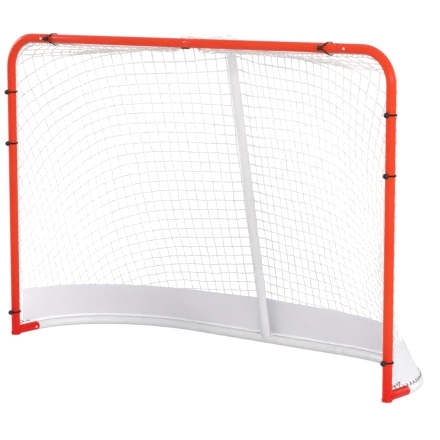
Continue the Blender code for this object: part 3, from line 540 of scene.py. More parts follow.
class Bench:
    """The modelling operators, used on one piece at a time."""

    merge_distance = 0.000002
    sliver_size = 0.00002
    level_tolerance = 0.0001
    upward_normal = 0.9

    @staticmethod
    def clear() -> None:
        """Leaves edit mode and deselects everything."""
        if bpy.context.object is not None and bpy.context.object.mode != "OBJECT":
            bpy.ops.object.mode_set(mode="OBJECT")
        bpy.ops.object.select_all(action="DESELECT")

    @staticmethod
    def take(item: Piece) -> None:
        """Selects one piece only, and makes it active.

        Args:
            item: The piece.
        """
        Bench.clear()
        item.select_set(True)
        bpy.context.view_layer.objects.active = item

    @staticmethod
    def new(add: Callable[..., object], name: str, scale: Point = (1, 1, 1), **settings: object) -> Piece:
        """Adds a primitive, with its place, turn and size in its mesh.

        Args:
            add: The operator that adds it.
            name: The name of the piece and its mesh.
            scale: Its size along each axis.
            **settings: The operator's own settings.

        Returns:
            The piece.
        """
        Bench.clear()
        add(**settings)
        item = bpy.context.object
        item.name = item.data.name = name
        item.scale = scale
        Bench.take(item)
        bpy.ops.object.transform_apply(location=True, rotation=True, scale=True)
        return item

    @staticmethod
    def cylinder(name: str, radius: float, low: float, high: float, sides: int = 48) -> Piece:
        """A closed cylinder that stands on the Z axis from one height to another."""
        size = {"vertices": sides, "radius": radius, "depth": high - low}
        return Bench.new(bpy.ops.mesh.primitive_cylinder_add, name, location=(0, 0, (low + high) / 2), **size)

    @staticmethod
    def link(name: str, data: bpy.types.ID) -> Piece:
        """A new object in the scene.

        Args:
            name: Its name.
            data: Its mesh, light or camera.

        Returns:
            The object.
        """
        item = bpy.data.objects.new(name, data)
        bpy.context.scene.collection.objects.link(item)
        return item

    @staticmethod
    def move(item: Piece, matrix: Matrix) -> Piece:
        """Moves a piece's mesh.

        Args:
            item: The piece.
            matrix: The move.

        Returns:
            The same piece.
        """
        item.data.transform(matrix)
        item.data.update()
        return item

    @staticmethod
    def copy(item: Piece, name: str, matrix: Matrix) -> Piece:
        """A copy with its own mesh.

        Args:
            item: The piece that is copied.
            name: The name of the copy and its mesh.
            matrix: The move from the piece to the copy.

        Returns:
            The copy.
        """
        twin = Bench.link(name, item.data.copy())
        twin.data.name = name
        return Bench.move(twin, matrix)

    @staticmethod
    @contextmanager
    def edit(item: Piece, kind: str = "FACE", wanted: Callable[..., bool] | None = None) -> Iterator[None]:
        """Opens a piece for editing, and closes it at the end.

        Args:
            item: The piece.
            kind: What is selected: VERT, EDGE or FACE.
            wanted: Tests the edges or faces for the selection; without it, all is selected.

        Yields:
            Nothing, while the piece is open.
        """
        Bench.take(item)
        bpy.ops.object.mode_set(mode="EDIT")
        bpy.ops.mesh.select_mode(type=kind)
        bpy.ops.mesh.select_all(action="DESELECT" if wanted else "SELECT")
        if wanted:
            shape = bmesh.from_edit_mesh(item.data)
            for part in filter(wanted, shape.edges if kind == "EDGE" else shape.faces):
                part.select_set(True)
            bmesh.update_edit_mesh(item.data)
        yield
        bpy.ops.object.mode_set(mode="OBJECT")

    @staticmethod
    def modify(item: Piece, kind: str, **settings: object) -> None:
        """Adds a modifier, sets it and applies it.

        Args:
            item: The piece.
            kind: The modifier's type.
            **settings: Its settings.
        """
        Bench.take(item)
        modifier = item.modifiers.new(kind.lower(), kind)
        for key, value in settings.items():
            setattr(modifier, key, value)
        bpy.ops.object.modifier_apply(modifier=modifier.name)

    @staticmethod
    def combine(item: Piece, tool: Piece, operation: str = "DIFFERENCE") -> None:
        """Works one closed shape into another and removes it."""
        Bench.modify(item, "BOOLEAN", operation=operation, solver="EXACT", object=tool)
        bpy.data.objects.remove(tool, do_unlink=True)

    @staticmethod
    def tidy(item: Piece) -> None:
        """Merges doubles, takes out slivers and turns all faces outwards.

        Args:
            item: The piece.
        """
        with Bench.edit(item, "VERT"):
            bpy.ops.mesh.remove_doubles(threshold=Bench.merge_distance)
            bpy.ops.mesh.dissolve_degenerate(threshold=Bench.sliver_size)
            bpy.ops.mesh.normals_make_consistent(inside=False)

    @staticmethod
    def soften(item: Piece, width: float, segments: int = 2) -> None:
        """Rounds every edge sharper than 30 degrees."""
        limit = {"limit_method": "ANGLE", "angle_limit": math.radians(30)}
        Bench.modify(item, "BEVEL", width=width, segments=segments, use_clamp_overlap=True, **limit)

    @staticmethod
    def shade(item: Piece, degrees: float = 35.0) -> Piece:
        """Smooth shading that keeps the sharp edges.

        Args:
            item: The piece.
            degrees: The least angle of an edge that stays sharp.

        Returns:
            The same piece.
        """
        Bench.take(item)
        bpy.ops.object.shade_smooth_by_angle(angle=math.radians(degrees))
        return item

    @staticmethod
    def extrude(step: Sequence[float]) -> None:
        """Extrudes what is selected."""
        bpy.ops.mesh.extrude_region_move(TRANSFORM_OT_translate={"value": step})

    @staticmethod
    def step_top(item: Piece, inset: float, rise: float) -> None:
        """Insets the flat top of a turned piece and extrudes the inner face.

        Args:
            item: The piece.
            inset: How far in the new edge lies.
            rise: How far the inner face goes up.
        """
        with Bench.edit(item, "FACE", lambda face: face.normal.z > Bench.upward_normal):
            bpy.ops.mesh.inset(thickness=inset)
            Bench.extrude((0, 0, rise))

    @staticmethod
    def round_end(item: Piece, z: float, width: float, segments: int) -> None:
        """Rounds the edges round the flat end of a turned piece.

        Args:
            item: The piece.
            z: The end's height.
            width: The rounding's width.
            segments: The steps in it.
        """
        low, high = z - Bench.level_tolerance, z + Bench.level_tolerance
        with Bench.edit(item, "EDGE", lambda edge: all(low < end.co.z < high for end in edge.verts)):
            bpy.ops.mesh.bevel(offset=width, segments=segments, affect="EDGES")


def smooth_step(value: float) -> float:
    """Rises smoothly from 0 to 1 as the value does."""
    value = min(max(value, 0.0), 1.0)
    return value * value * (3.0 - 2.0 * value)


def axes_at(place: Vector, along: Vector, outward: Vector) -> Matrix:
    """The matrix that sets a shape at a place, its X axis along and its Z axis outward."""
    x, z = along.normalized(), outward.normalized()
    return Matrix.Translation(place) @ Matrix((x, z.cross(x), z)).transposed().to_4x4()


def as_array(places: Sequence[Sequence[float]]) -> Array:
    """Points as the rows of an array."""
    return np.array([tuple(place) for place in places])


def unit(vectors: Array) -> Array:
    """Vectors scaled to a length of one."""
    return vectors / np.linalg.norm(vectors, axis=-1)[..., None]


def mirrored(places: Line) -> Line:
    """A line's mirror image on the other side of the goal, from its end to its start."""
    return [Vector((-place.x, place.y, place.z)) for place in reversed(places)]


def run_along(points: Array) -> Array:
    """The length along a line up to each of its points."""
    return np.concatenate([[0.0], np.cumsum(np.linalg.norm(np.diff(points, axis=0), axis=1))])


def lerped(wanted: Array, known: Array, points: Array) -> Array:
    """Points of a line at wanted values, from those at known ones."""
    return np.column_stack([np.interp(wanted, known, points[:, part]) for part in range(3)])


def sampled(points: Array, count: int) -> Array:
    """Points at even steps along a line."""
    lengths = run_along(points)
    return lerped(np.linspace(0.0, lengths[-1], count), lengths, points)


def refine(grid: Array, times: int, axis: int = 0) -> Array:
    """Adds smooth steps along one axis.

    Args:
        grid: A grid's values, or a line's points.
        times: The steps in each old one.
        axis: The axis along which it gets finer.

    Returns:
        The finer grid, which holds the old values.
    """
    old = np.moveaxis(grid, axis, 0)
    padded = np.concatenate([2 * old[:1] - old[1:2], old, 2 * old[-1:] - old[-2:-1]])
    before, here, after, beyond = padded[:-3], padded[1:-2], padded[2:-1], padded[3:]
    steps = []
    for t in np.arange(times) / times:
        square = (2 * before - 5 * here + 4 * after - beyond) * t * t
        cube = (3 * here - before - 3 * after + beyond) * t ** 3
        steps.append(0.5 * (2 * here + (after - before) * t + square + cube))
    inner = np.stack(steps, axis=1).reshape(-1, *old.shape[1:])
    return np.moveaxis(np.concatenate([inner, old[-1:]]), 0, axis)


@dataclass(frozen=True)
class GoalPlan:
    """The goal's main sizes: those that its boxes show are measured on the frame."""

    tube_radius: float
    mouth_y: float
    post_x: float
    bar_z: float
    rail_depth: float
    socket_reach: float
    crossbar_end: float
    rear_seam: float
    tube_wall: float = 0.0015
    gap: float = 0.0003
    corner_radius: float = 0.118
    base_straight: float = 0.370
    insert_length: float = 0.055
    centre_insert: float = 0.085
    swage_step: float = 0.0018
    swage_clearance: float = 0.0006
    crossbar_seam: float = 0.005
    seam_gap: float = 0.0014
    cap_floor: float = 0.004
    brace_seam_height: float = 0.310
    brace_bend_radius: float = 0.050
    brace_arm_drop: float = 0.0045
    brace_lean_run: float = 0.2395
    saddle_wall: float = 0.004

    @classmethod
    def measure(cls) -> GoalPlan:
        """Reads the sizes from the frame's boxes."""
        low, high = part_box("post_right")
        radius = (high.y - low.y) / 2
        mouth_y = (high.y + low.y) / 2
        return cls(
            tube_radius=radius,
            mouth_y=mouth_y,
            post_x=high.x - radius,
            bar_z=high.z - radius,
            rail_depth=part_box("base_rear")[1].y - radius - mouth_y,
            socket_reach=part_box("foot_socket_right")[1].y - mouth_y,
            crossbar_end=low.x - cls.gap,
            rear_seam=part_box("base_side_right")[0].x - cls.gap,
        )

    def mouth(self, x: float, y: float, z: float) -> Vector:
        """A point given from the mouth's plane."""
        return Vector((x, y + self.mouth_y, z))

    def on_bar(self, x: float) -> Vector:
        """A point on the crossbar's axis."""
        return self.mouth(x, 0, self.bar_z)

    def on_post(self, side: Side, z: float) -> Vector:
        """A point on a post's axis."""
        return self.mouth(side.value * self.post_x, 0, z)

    @property
    def insert_radius(self) -> float:
        """Radius of the swaged ends."""
        return self.tube_radius - self.tube_wall - self.swage_clearance

    @property
    def arm_z(self) -> float:
        """Height of the brace's arm."""
        return self.bar_z - self.brace_arm_drop

    @property
    def lean(self) -> float:
        """How far the brace's leg leans forward for each metre up."""
        return self.brace_lean_run / (self.arm_z - self.tube_radius)

    @property
    def leg_direction(self) -> Vector:
        """Unit direction of the brace's leg, upwards."""
        return Vector((0, -self.lean, 1)).normalized()

    @property
    def leg_side(self) -> Vector:
        """Unit direction out of the back of the brace's leg."""
        return Vector((0, self.leg_direction.z, -self.leg_direction.y))

    def leg_point(self, length: float) -> Vector:
        """A point on the leg's axis, at a length from the rear rail's axis."""
        return self.mouth(0, self.rail_depth, self.tube_radius) + self.leg_direction * length

    @property
    def leg_corner(self) -> Vector:
        """Where the axes of the brace's leg and arm meet."""
        return self.leg_point((self.arm_z - self.tube_radius) / self.leg_direction.z)

    def base_back(self, x: float) -> float:
        """How far behind the mouth the base tube lies.

        Args:
            x: The sideways place.

        Returns:
            The distance to its axis.
        """
        over = max(abs(x) - self.base_straight, 0.0) / (self.post_x - self.base_straight)
        depth = self.rail_depth - self.socket_reach
        return self.socket_reach + depth * math.sqrt(max(1.0 - over * over, 0.0))

    def base_curve(self, side: float, z: float, steps: int) -> Line:
        """Points along one of the base's curves, after its first.

        Args:
            side: 1 on the right, -1 on the left.
            z: Their height.
            steps: Their number.

        Returns:
            The points, up to the rear rail's straight run.
        """
        line = []
        for angle in np.linspace(0.0, math.pi / 2, steps + 1)[1:]:
            across = self.base_straight + (self.post_x - self.base_straight) * math.cos(angle)
            back = self.socket_reach + (self.rail_depth - self.socket_reach) * math.sin(angle)
            line.append(self.mouth(side * across, back, z))
        return line


@dataclass
class CordMaker:
    """Gathers round cords in one mesh, with a UV map that runs in metres along them."""

    sides: int = 6
    points: list[Array] = field(default_factory=list)
    faces: list[tuple[int, ...]] = field(default_factory=list)
    runs: list[tuple[float, float]] = field(default_factory=list)
    total: int = 0
    knot_run: float = 0.004

    def lay(self, path: Array, radius: float | Array) -> None:
        """Adds one cord.

        Args:
            path: Its points.
            radius: Its radius, or one at each point.
        """
        count = len(path)
        radii = np.broadcast_to(radius, (count,))
        tangents = np.gradient(path, axis=0)
        tangents /= np.maximum(np.linalg.norm(tangents, axis=1), 1e-9)[:, None]
        guide = np.eye(3)[np.argmin(np.abs(tangents[0]))]
        angles = 2 * math.pi * np.arange(self.sides) / self.sides
        rings = np.empty((count, self.sides, 3))
        for number, tangent in enumerate(tangents):
            guide = guide - tangent * (guide @ tangent)
            guide = guide / np.linalg.norm(guide)
            spokes = np.outer(np.cos(angles), guide) + np.outer(np.sin(angles), np.cross(tangent, guide))
            rings[number] = path[number] + spokes * radii[number]
        lengths = run_along(path)
        for number in range(count - 1):
            low = self.total + number * self.sides
            near, far = lengths[number], lengths[number + 1]
            for side in range(self.sides):
                after = (side + 1) % self.sides
                high = low + self.sides
                self.faces.append((low + side, low + after, high + after, high + side))
                left, right = side / self.sides, (side + 1) / self.sides
                self.runs += [(left, near), (right, near), (right, far), (left, far)]
        first = range(self.total, self.total + self.sides)
        last = range(self.total + (count - 1) * self.sides, self.total + count * self.sides)
        for ring, length in ((first[::-1], lengths[0]), (last, lengths[-1])):
            self.faces.append(tuple(ring))
            self.runs += [(0.5, length)] * self.sides
        self.points.append(rings.reshape(-1, 3))
        self.total += count * self.sides

    def lump(self, shape: tuple[Array, Array], matrix: Array, place: Array) -> None:
        """Adds a small closed shape, such as a knot.

        Args:
            shape: Its points and its triangles.
            matrix: Turns and scales it.
            place: Where it goes.
        """
        points, triangles = shape
        for triangle in triangles:
            self.faces.append(tuple(int(corner) + self.total for corner in triangle))
            self.runs += [(points[corner][0], points[corner][2] * self.knot_run) for corner in triangle]
        self.points.append(points @ matrix.T + place)
        self.total += len(points)

    def make(self, name: str) -> Piece:
        """The piece of all that was laid.

        Args:
            name: Its name.

        Returns:
            The piece.
        """
        mesh = bpy.data.meshes.new(name)
        mesh.from_pydata(np.concatenate(self.points).tolist(), [], self.faces)
        layer = mesh.uv_layers.new(name="run")
        layer.data.foreach_set("uv", np.array(self.runs, np.float32).ravel())
        mesh.update()
        return Bench.shade(Bench.link(name, mesh), degrees=50.0)


class Workshop:
    """Dresses finished pieces and hands them to the frame."""

    def __init__(self) -> None:
        """Starts with no materials made."""
        self.made: dict[str, Material] = {}
        self.count = 0

    def material(self, finish: Finish) -> Material:
        """A finish's material, made once.

        Args:
            finish: The finish.

        Returns:
            The material.
        """
        if finish.name not in self.made:
            self.made[finish.name] = finish.material()
        return self.made[finish.name]

    def hand_over(self, item: Piece, finish: Finish, node: str = "", body: str = "frame") -> Piece:
        """Dresses a piece and puts it on the frame.

        Args:
            item: The finished piece.
            finish: Its finish, which knows the record's slot that it answers to.
            node: The CAD node that it replaces, if any.
            body: The body that it rides on.

        Returns:
            The piece.
        """
        item.data.materials.clear()
        item.data.materials.append(self.material(finish))
        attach(item, body)
        if node:
            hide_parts(node)
        self.count += 1
        triangles = sum(len(face.vertices) - 2 for face in item.data.polygons)
        log.info("piece %s on %s, %d triangles", item.name, body, triangles)
        return item

    def cord(
        self, name: str, finish: Finish, sides: int, path: Array, radius: Array | float, node: str = ""
    ) -> Piece:
        """Makes a piece of one cord and hands it over.

        Args:
            name: The piece's name.
            finish: Its finish.
            sides: The sides of its section.
            path: Its points.
            radius: Its radius, or one at each point.
            node: The CAD node that it replaces, if any.

        Returns:
            The piece.
        """
        cords = CordMaker(sides)
        cords.lay(path, radius)
        return self.hand_over(cords.make(name), finish, node)

    def keep(self, node: Piece, finish: Finish) -> None:
        """Dresses a CAD node that stays as it is.

        Args:
            node: The node.
            finish: Its finish.
        """
        for slot in node.material_slots:
            slot.material = self.material(finish)
        if not node.material_slots:
            node.data.materials.append(self.material(finish))
        log.info("kept %s", node.name)


@dataclass
class TubeBender:
    """Makes hollow tubes: a ring pushed along its runs and turned through its bends."""

    wall: float
    sides: int = 48
    rim_round: float = 0.0005
    least_change: float = 0.00001

    def sweep(self, name: str, rings: Sequence[Ring], turn: Turn) -> Piece:
        """Pushes a ring along a tube's axis.

        Args:
            name: The piece's name.
            rings: The tube's rings, in order.
            turn: The axis about which it bends.

        Returns:
            An open skin whose faces look outwards.
        """
        places, radii = zip(*rings)
        start, heading = places[0], (places[1] - places[0]).normalized()
        settings = {"vertices": self.sides, "radius": radii[0], "fill_type": "NOTHING", "location": start}
        turned = heading.to_track_quat("Z", "Y").to_euler()
        item = Bench.new(bpy.ops.mesh.primitive_circle_add, name, rotation=turned, **settings)
        facing = heading
        with Bench.edit(item, "VERT"):
            for number in range(1, len(places)):
                here = places[number]
                step = here - places[number - 1]
                Bench.extrude(step)
                ahead = step.normalized()
                if number + 1 < len(places):
                    ahead = (ahead + (places[number + 1] - here).normalized()).normalized()
                angle = math.atan2(facing.cross(ahead).dot(Vector(turn.value)), facing.dot(ahead))
                if abs(angle) > self.least_change:
                    bpy.ops.transform.rotate(value=-angle, orient_axis=turn.name, center_override=here)
                scale = radii[number] / radii[number - 1]
                if abs(scale - 1.0) > self.least_change:
                    bpy.ops.transform.resize(value=(scale, scale, scale), center_override=here)
                facing = ahead
        Bench.tidy(item)
        face = min(item.data.polygons, key=lambda each: (each.center - start).length)
        away = face.center - start
        if face.normal.dot(away - heading * away.dot(heading)) < 0:
            with Bench.edit(item):
                bpy.ops.mesh.flip_normals()
        return item

    def tube(self, name: str, rings: Sequence[Ring], turn: Turn, cutters: Sequence[Piece]) -> Piece:
        """A finished tube: its wall, its cuts and its rounded rims.

        Args:
            name: The piece's name.
            rings: Its rings, in order.
            turn: The axis about which it bends.
            cutters: Closed shapes that are cut out of it and removed.

        Returns:
            The tube.
        """
        item = self.sweep(name, rings, turn)
        Bench.modify(item, "SOLIDIFY", thickness=self.wall, offset=-1.0, use_even_offset=True)
        for cutter in cutters:
            Bench.combine(item, cutter)
        Bench.soften(item, self.rim_round)
        return Bench.shade(item)

    @staticmethod
    def bend(points: Line, radius: float, steps: int) -> Line:
        """Rounds the inner corner of a line of three points with an arc.

        Args:
            points: The line's start, corner and end.
            radius: The arc's radius.
            steps: The arc's steps.

        Returns:
            The rounded line.
        """
        before, corner, after = points
        back, ahead = (before - corner).normalized(), (after - corner).normalized()
        half = back.angle(ahead) / 2
        centre = corner + (back + ahead).normalized() * radius / math.sin(half)
        start = corner + back * radius / math.tan(half) - centre
        finish = corner + ahead * radius / math.tan(half) - centre
        arc = [centre + start.slerp(finish, step / steps) * radius for step in range(steps + 1)]
        return [before, *arc, after]


@dataclass
class NetPlan:
    """The surface on which the net and the skirt lie, as in the CAD, and the lines round it."""

    plan: GoalPlan
    rope_radius: float = 0.003
    rope_sag: float = 0.005
    rope_sag_run: float = 0.120
    rope_bar_angle: float = math.radians(-65)
    rope_arm_angle: float = math.radians(48)
    rope_arm_gap: float = 0.0085
    rope_arm_run: float = 0.036
    rope_foot_height: float = 0.052
    rope_step: float = 0.014
    sag_steps: int = 6
    setback: float = 0.0110
    arm_setback: float = 0.0085
    columns: int = 40
    rows: int = 28
    bend_row: int = 6
    skirt_rows: int = 4
    ridge_end_drop: float = 0.0815
    ridge_droop: float = 0.020
    row_pull: float = 0.130
    skirt_pull: float = 0.040
    relax_steps: int = 3000
    brace_net_gap: float = 0.0070
    skirt_top: float = 0.183
    hem_radius: float = 0.005
    hem_bump_half_width: float = 0.012
    hem_bump_run: float = 0.045
    hem_bump_points: int = 5
    tie_left_inset: float = 0.028
    tie_right_inset: float = 0.035
    corner_steps: int = 9
    base_steps: int = 18

    def __post_init__(self) -> None:
        """Works out the sizes that follow from others."""
        plan = self.plan
        self.tie_left = self.tie_left_inset - plan.crossbar_end
        self.tie_right = plan.crossbar_end - self.tie_right_inset
        self.rope_reach = plan.tube_radius + self.rope_radius + plan.gap
        self.arm_half_width = plan.tube_radius + self.rope_arm_gap
        self.brace_offset = plan.tube_radius + self.brace_net_gap
        self.hem_z = 2 * plan.tube_radius + self.hem_radius + plan.gap
        leg = plan.tube_radius * math.hypot(1, plan.lean) - plan.lean * (self.hem_z - plan.tube_radius)
        self.hem_bump = leg + self.hem_radius + 2 * plan.gap
        self.skirt_bottom = self.hem_z + self.hem_radius + plan.gap
        self.grid = self.relaxed()

    def bar_offset(self, x: float) -> tuple[float, float, float]:
        """Where the rope lies round the crossbar.

        Args:
            x: The sideways place.

        Returns:
            Its reach from the bar's axis, its angle, and how far it has turned over the arm.
        """
        over = 1.0 - smooth_step((abs(x) - self.arm_half_width) / self.rope_arm_run)
        left = smooth_step((x - self.tie_left) / self.rope_sag_run)
        right = smooth_step((self.tie_right - x) / self.rope_sag_run)
        reach = self.rope_reach + self.rope_sag * left * right * (1.0 - over)
        return reach, self.rope_bar_angle + (self.rope_arm_angle - self.rope_bar_angle) * over, over

    def border(self, setback: float) -> tuple[Line, Line]:
        """The net's border up the left post and along the crossbar.

        Args:
            setback: How far it is moved off the tubes, from the rope's axis.

        Returns:
            Its left side and its top.
        """
        plan = self.plan
        reach = self.rope_reach + setback
        straight = plan.post_x - plan.corner_radius
        corner_z = plan.bar_z - plan.corner_radius
        left = [plan.mouth(-plan.post_x, reach, z) for z in (self.rope_foot_height, corner_z / 2)]
        centre = plan.mouth(-straight, 0, corner_z)
        for share in np.arange(self.corner_steps) / self.corner_steps:
            turn = math.pi / 2 * share
            lower = self.rope_bar_angle * smooth_step(share)
            inward = Vector((math.cos(turn), 0, -math.sin(turn)))
            away = Vector((0, math.cos(lower), 0)) - inward * math.sin(lower)
            left.append(centre - inward * plan.corner_radius + away * reach)
        arm_end = self.arm_half_width + self.rope_arm_run
        arm_steps = math.ceil((self.rope_arm_angle - self.rope_bar_angle) * self.rope_reach / self.rope_step)
        rising = np.linspace(arm_end, self.arm_half_width, arm_steps + 1)[1:]
        places = [straight, *np.linspace(self.tie_right, arm_end, self.sag_steps), *rising, 0.0]
        top = []
        for x in [-x for x in places[:-1]] + places[::-1]:
            reach, angle, over = self.bar_offset(x)
            extra = setback + (self.arm_setback - self.setback) * over * (setback > 0)
            away = Vector((0, math.cos(angle), math.sin(angle)))
            top.append(plan.on_bar(x) + away * (reach + extra))
        return left, top

    def rim(self, setback: float, times: int = 4) -> Array:
        """The whole border as one smooth line, with some steps between each two points."""
        left, top = self.border(setback)
        return refine(as_array(left + top + mirrored(left)), times)

    def hem(self) -> Array:
        """The hem's centre line on top of the base, from the left post to the right post."""
        plan = self.plan
        backs = (self.rope_reach + self.setback, plan.socket_reach)
        left = [plan.mouth(-plan.post_x, back, self.hem_z) for back in backs]
        left += plan.base_curve(-1, self.hem_z, self.base_steps)
        for share in np.linspace(0.0, 1.0, self.hem_bump_points):
            aside = self.hem_bump_half_width + self.hem_bump_run * (1.0 - share)
            left.append(plan.mouth(-aside, plan.rail_depth + self.hem_bump * smooth_step(share), self.hem_z))
        return as_array(left + mirrored(left))

    def ridge(self, corner: Array) -> Array:
        """The net's fold over the brace's bend.

        Args:
            corner: Its end at the left post's bend.

        Returns:
            Its points, from one post's bend to the other's.
        """
        bend_side = (self.plan.leg_side + Z).normalized()
        over_bend = self.plan.leg_corner + bend_side * self.brace_offset / bend_side.z
        run = np.linspace(-1.0, 1.0, self.columns + 1)[:, None]
        share = np.abs(run)
        outer = corner * np.hstack([-np.sign(run), np.ones((len(run), 2))])
        droop = 4.0 * share * (1.0 - share) * (0.0, self.ridge_droop, self.ridge_droop)
        return np.array(over_bend) * (1.0 - share) + outer * share - droop

    def relaxed(self) -> Array:
        """Rows of points of the shared surface, pulled tight over the brace."""
        plan, bend = self.plan, self.bend_row
        rows, middle = self.rows + self.skirt_rows, self.columns // 2
        left, top = self.border(self.setback)
        hem = sampled(self.hem(), self.columns + 1)
        top_edge = sampled(as_array(top), self.columns + 1)
        ridge_end = plan.bar_z - self.ridge_end_drop
        heights = np.concatenate([
            np.linspace(top_edge[0, 2], ridge_end, bend + 1),
            np.linspace(ridge_end, self.skirt_top, self.rows - bend + 1)[1:],
            np.linspace(self.skirt_top, self.skirt_bottom, self.skirt_rows + 1)[1:],
        ])
        side = as_array(left[::-1])
        edge = lerped(-heights, -side[:, 2], side)
        edge[:, 2] = heights
        ridge = self.ridge(edge[bend])
        grid = np.zeros((rows + 1, self.columns + 1, 3))
        for row in range(rows + 1):
            roof = min(row / bend, 1.0)
            fall = max(row - bend, 0) / (rows - bend)
            grid[row] = (top_edge * (1.0 - roof) + ridge * roof) * (1.0 - fall) + hem * fall
            if row > bend:
                drop = min((row - bend) / (self.rows - bend), 1.0)
                lowest = min(heights[row], self.skirt_top) if drop == 1.0 else self.skirt_top
                grid[row, :, 2] = ridge[:, 2] * (1.0 - drop) + lowest * drop
            grid[row, 0] = edge[row]
            grid[row, -1] = edge[row] * (-1.0, 1.0, 1.0)
        grid[-1, 1:-1, :2] = hem[1:-1, :2]
        grid[1:bend, middle, 2] = plan.arm_z + self.brace_offset
        drops = heights[bend:-1] - heights[bend + 1:]
        both = drops[:-1] + drops[1:]
        above, below = ((2.0 / (part * both))[:, None, None] for part in (drops[:-1], drops[1:]))
        pull = np.where(np.arange(bend + 1, rows) < self.rows, self.row_pull, self.skirt_pull)
        pull = (pull * self.columns ** 2)[:, None, None]
        wall = grid[bend:]
        leg_back = plan.leg_point(0).y - plan.lean * (wall[1:-1, middle, 2] - plan.tube_radius)
        leg_back += self.brace_offset * math.hypot(1, plan.lean)
        for _ in range(self.relax_steps):
            inner = above * wall[:-2, 1:-1, :2] + below * wall[2:, 1:-1, :2]
            inner += pull * (wall[1:-1, :-2, :2] + wall[1:-1, 2:, :2])
            wall[1:-1, 1:-1, :2] = inner / (above + below + 2.0 * pull)
            wall[1:-1, middle, 1] = np.maximum(wall[1:-1, middle, 1], leg_back)
        return grid


@dataclass
class TubeWork:
    """What the red and the white tubes share: their buttons' holes, their welds and the frame."""

    plan: GoalPlan
    bender: TubeBender
    shop: Workshop
    buttons: dict[str, Hole]
    finish: Finish = RED_COAT
    hole_radius: float = 0.0044
    hole_margin: float = 0.012
    hole_sides: int = 30
    hole_span: tuple[float, float] = (0.5, 1.4)
    cope_sides: int = 64
    cope_past: float = 0.010
    bolt_hole_radius: float = 0.0029
    bolt_x: float = -0.011
    bead_sides: int = 8
    bead_radius: float = 0.0022
    bead_ripple: float = 0.0004
    bead_sink: float = 0.35
    bead_round: float = 0.03
    points_per_ripple: float = 3.75
    taper_end: float = 0.35
    taper_points: float = 4.0

    def cutter(self, place: Vector, outward: Vector, radius: float) -> Piece:
        """A cutter for a round hole through one wall of a tube.

        Args:
            place: A point on the tube's axis.
            outward: The direction of the wall.
            radius: The hole's radius.

        Returns:
            The cutter.
        """
        low, high = (share * self.plan.tube_radius for share in self.hole_span)
        tool = Bench.cylinder("hole", radius, low, high, self.hole_sides)
        return Bench.move(tool, axes_at(place, outward.orthogonal(), outward))

    def hole(self, label: str) -> Piece:
        """The cutter for a snap button's hole."""
        return self.cutter(*self.buttons[label], self.hole_radius)

    def bolt_hole(self) -> Piece:
        """The cutter for the bolt's hole through the crossbar's lower wall and the saddle."""
        return self.cutter(self.bolt_place, -Z, self.bolt_hole_radius)

    @property
    def bolt_place(self) -> Vector:
        """The point on the crossbar's axis above the bolt."""
        return self.plan.on_bar(self.bolt_x)

    def beside(self, place: float) -> list[float]:
        """Places along a tube just before and after a hole, where it gets extra rings."""
        return [place - self.hole_margin, place + self.hole_margin]

    def fit(
        self, node: str, rings: Sequence[Ring], turn: Turn, cutters: Sequence[Piece], end: str = "tube"
    ) -> None:
        """Makes a tube and puts it in a CAD node's place.

        Args:
            node: The node.
            rings: The tube's rings, in order.
            turn: The axis about which it bends.
            cutters: What is cut out of it.
            end: The end of the piece's name.
        """
        item = self.bender.tube(node + "_" + end, rings, turn, cutters)
        self.shop.hand_over(item, self.finish, node)

    def weld(
        self, name: str, axes: Sequence[Vector], span: tuple[float, float], ripples: int, taper: bool = False
    ) -> None:
        """Lays a weld bead round the end of a tube that meets another.

        Args:
            name: The piece's name.
            axes: The tube's start, its direction, the other tube's direction, and the one beside both.
            span: The angles round the tube, from the other tube's direction, at which it starts and ends.
            ripples: Its ripples.
            taper: Whether it gets thinner at its two ends.
        """
        start, out, along, beside = (np.array(axis) for axis in axes)
        radius = self.plan.tube_radius
        angles = np.linspace(*span, round(ripples * self.points_per_ripple))
        reach = radius * np.sqrt(np.cos(angles) ** 2 + self.bead_round) + self.bead_radius * self.bead_sink
        ring = np.outer(np.cos(angles), along) + np.outer(np.sin(angles), beside)
        path = start + np.outer(reach, out) + ring * (radius + self.bead_sink * self.bead_radius)
        wave = np.abs(np.sin(np.linspace(0, ripples * math.pi, len(angles))))
        size = self.bead_radius + self.bead_ripple * wave
        if taper:
            count = np.arange(len(angles))
            rise = np.minimum(count, count[::-1]) / self.taper_points
            size *= np.clip(self.taper_end + (1.0 - self.taper_end) * rise, self.taper_end, 1.0)
        self.shop.cord(name, self.finish, self.bead_sides, path, size)


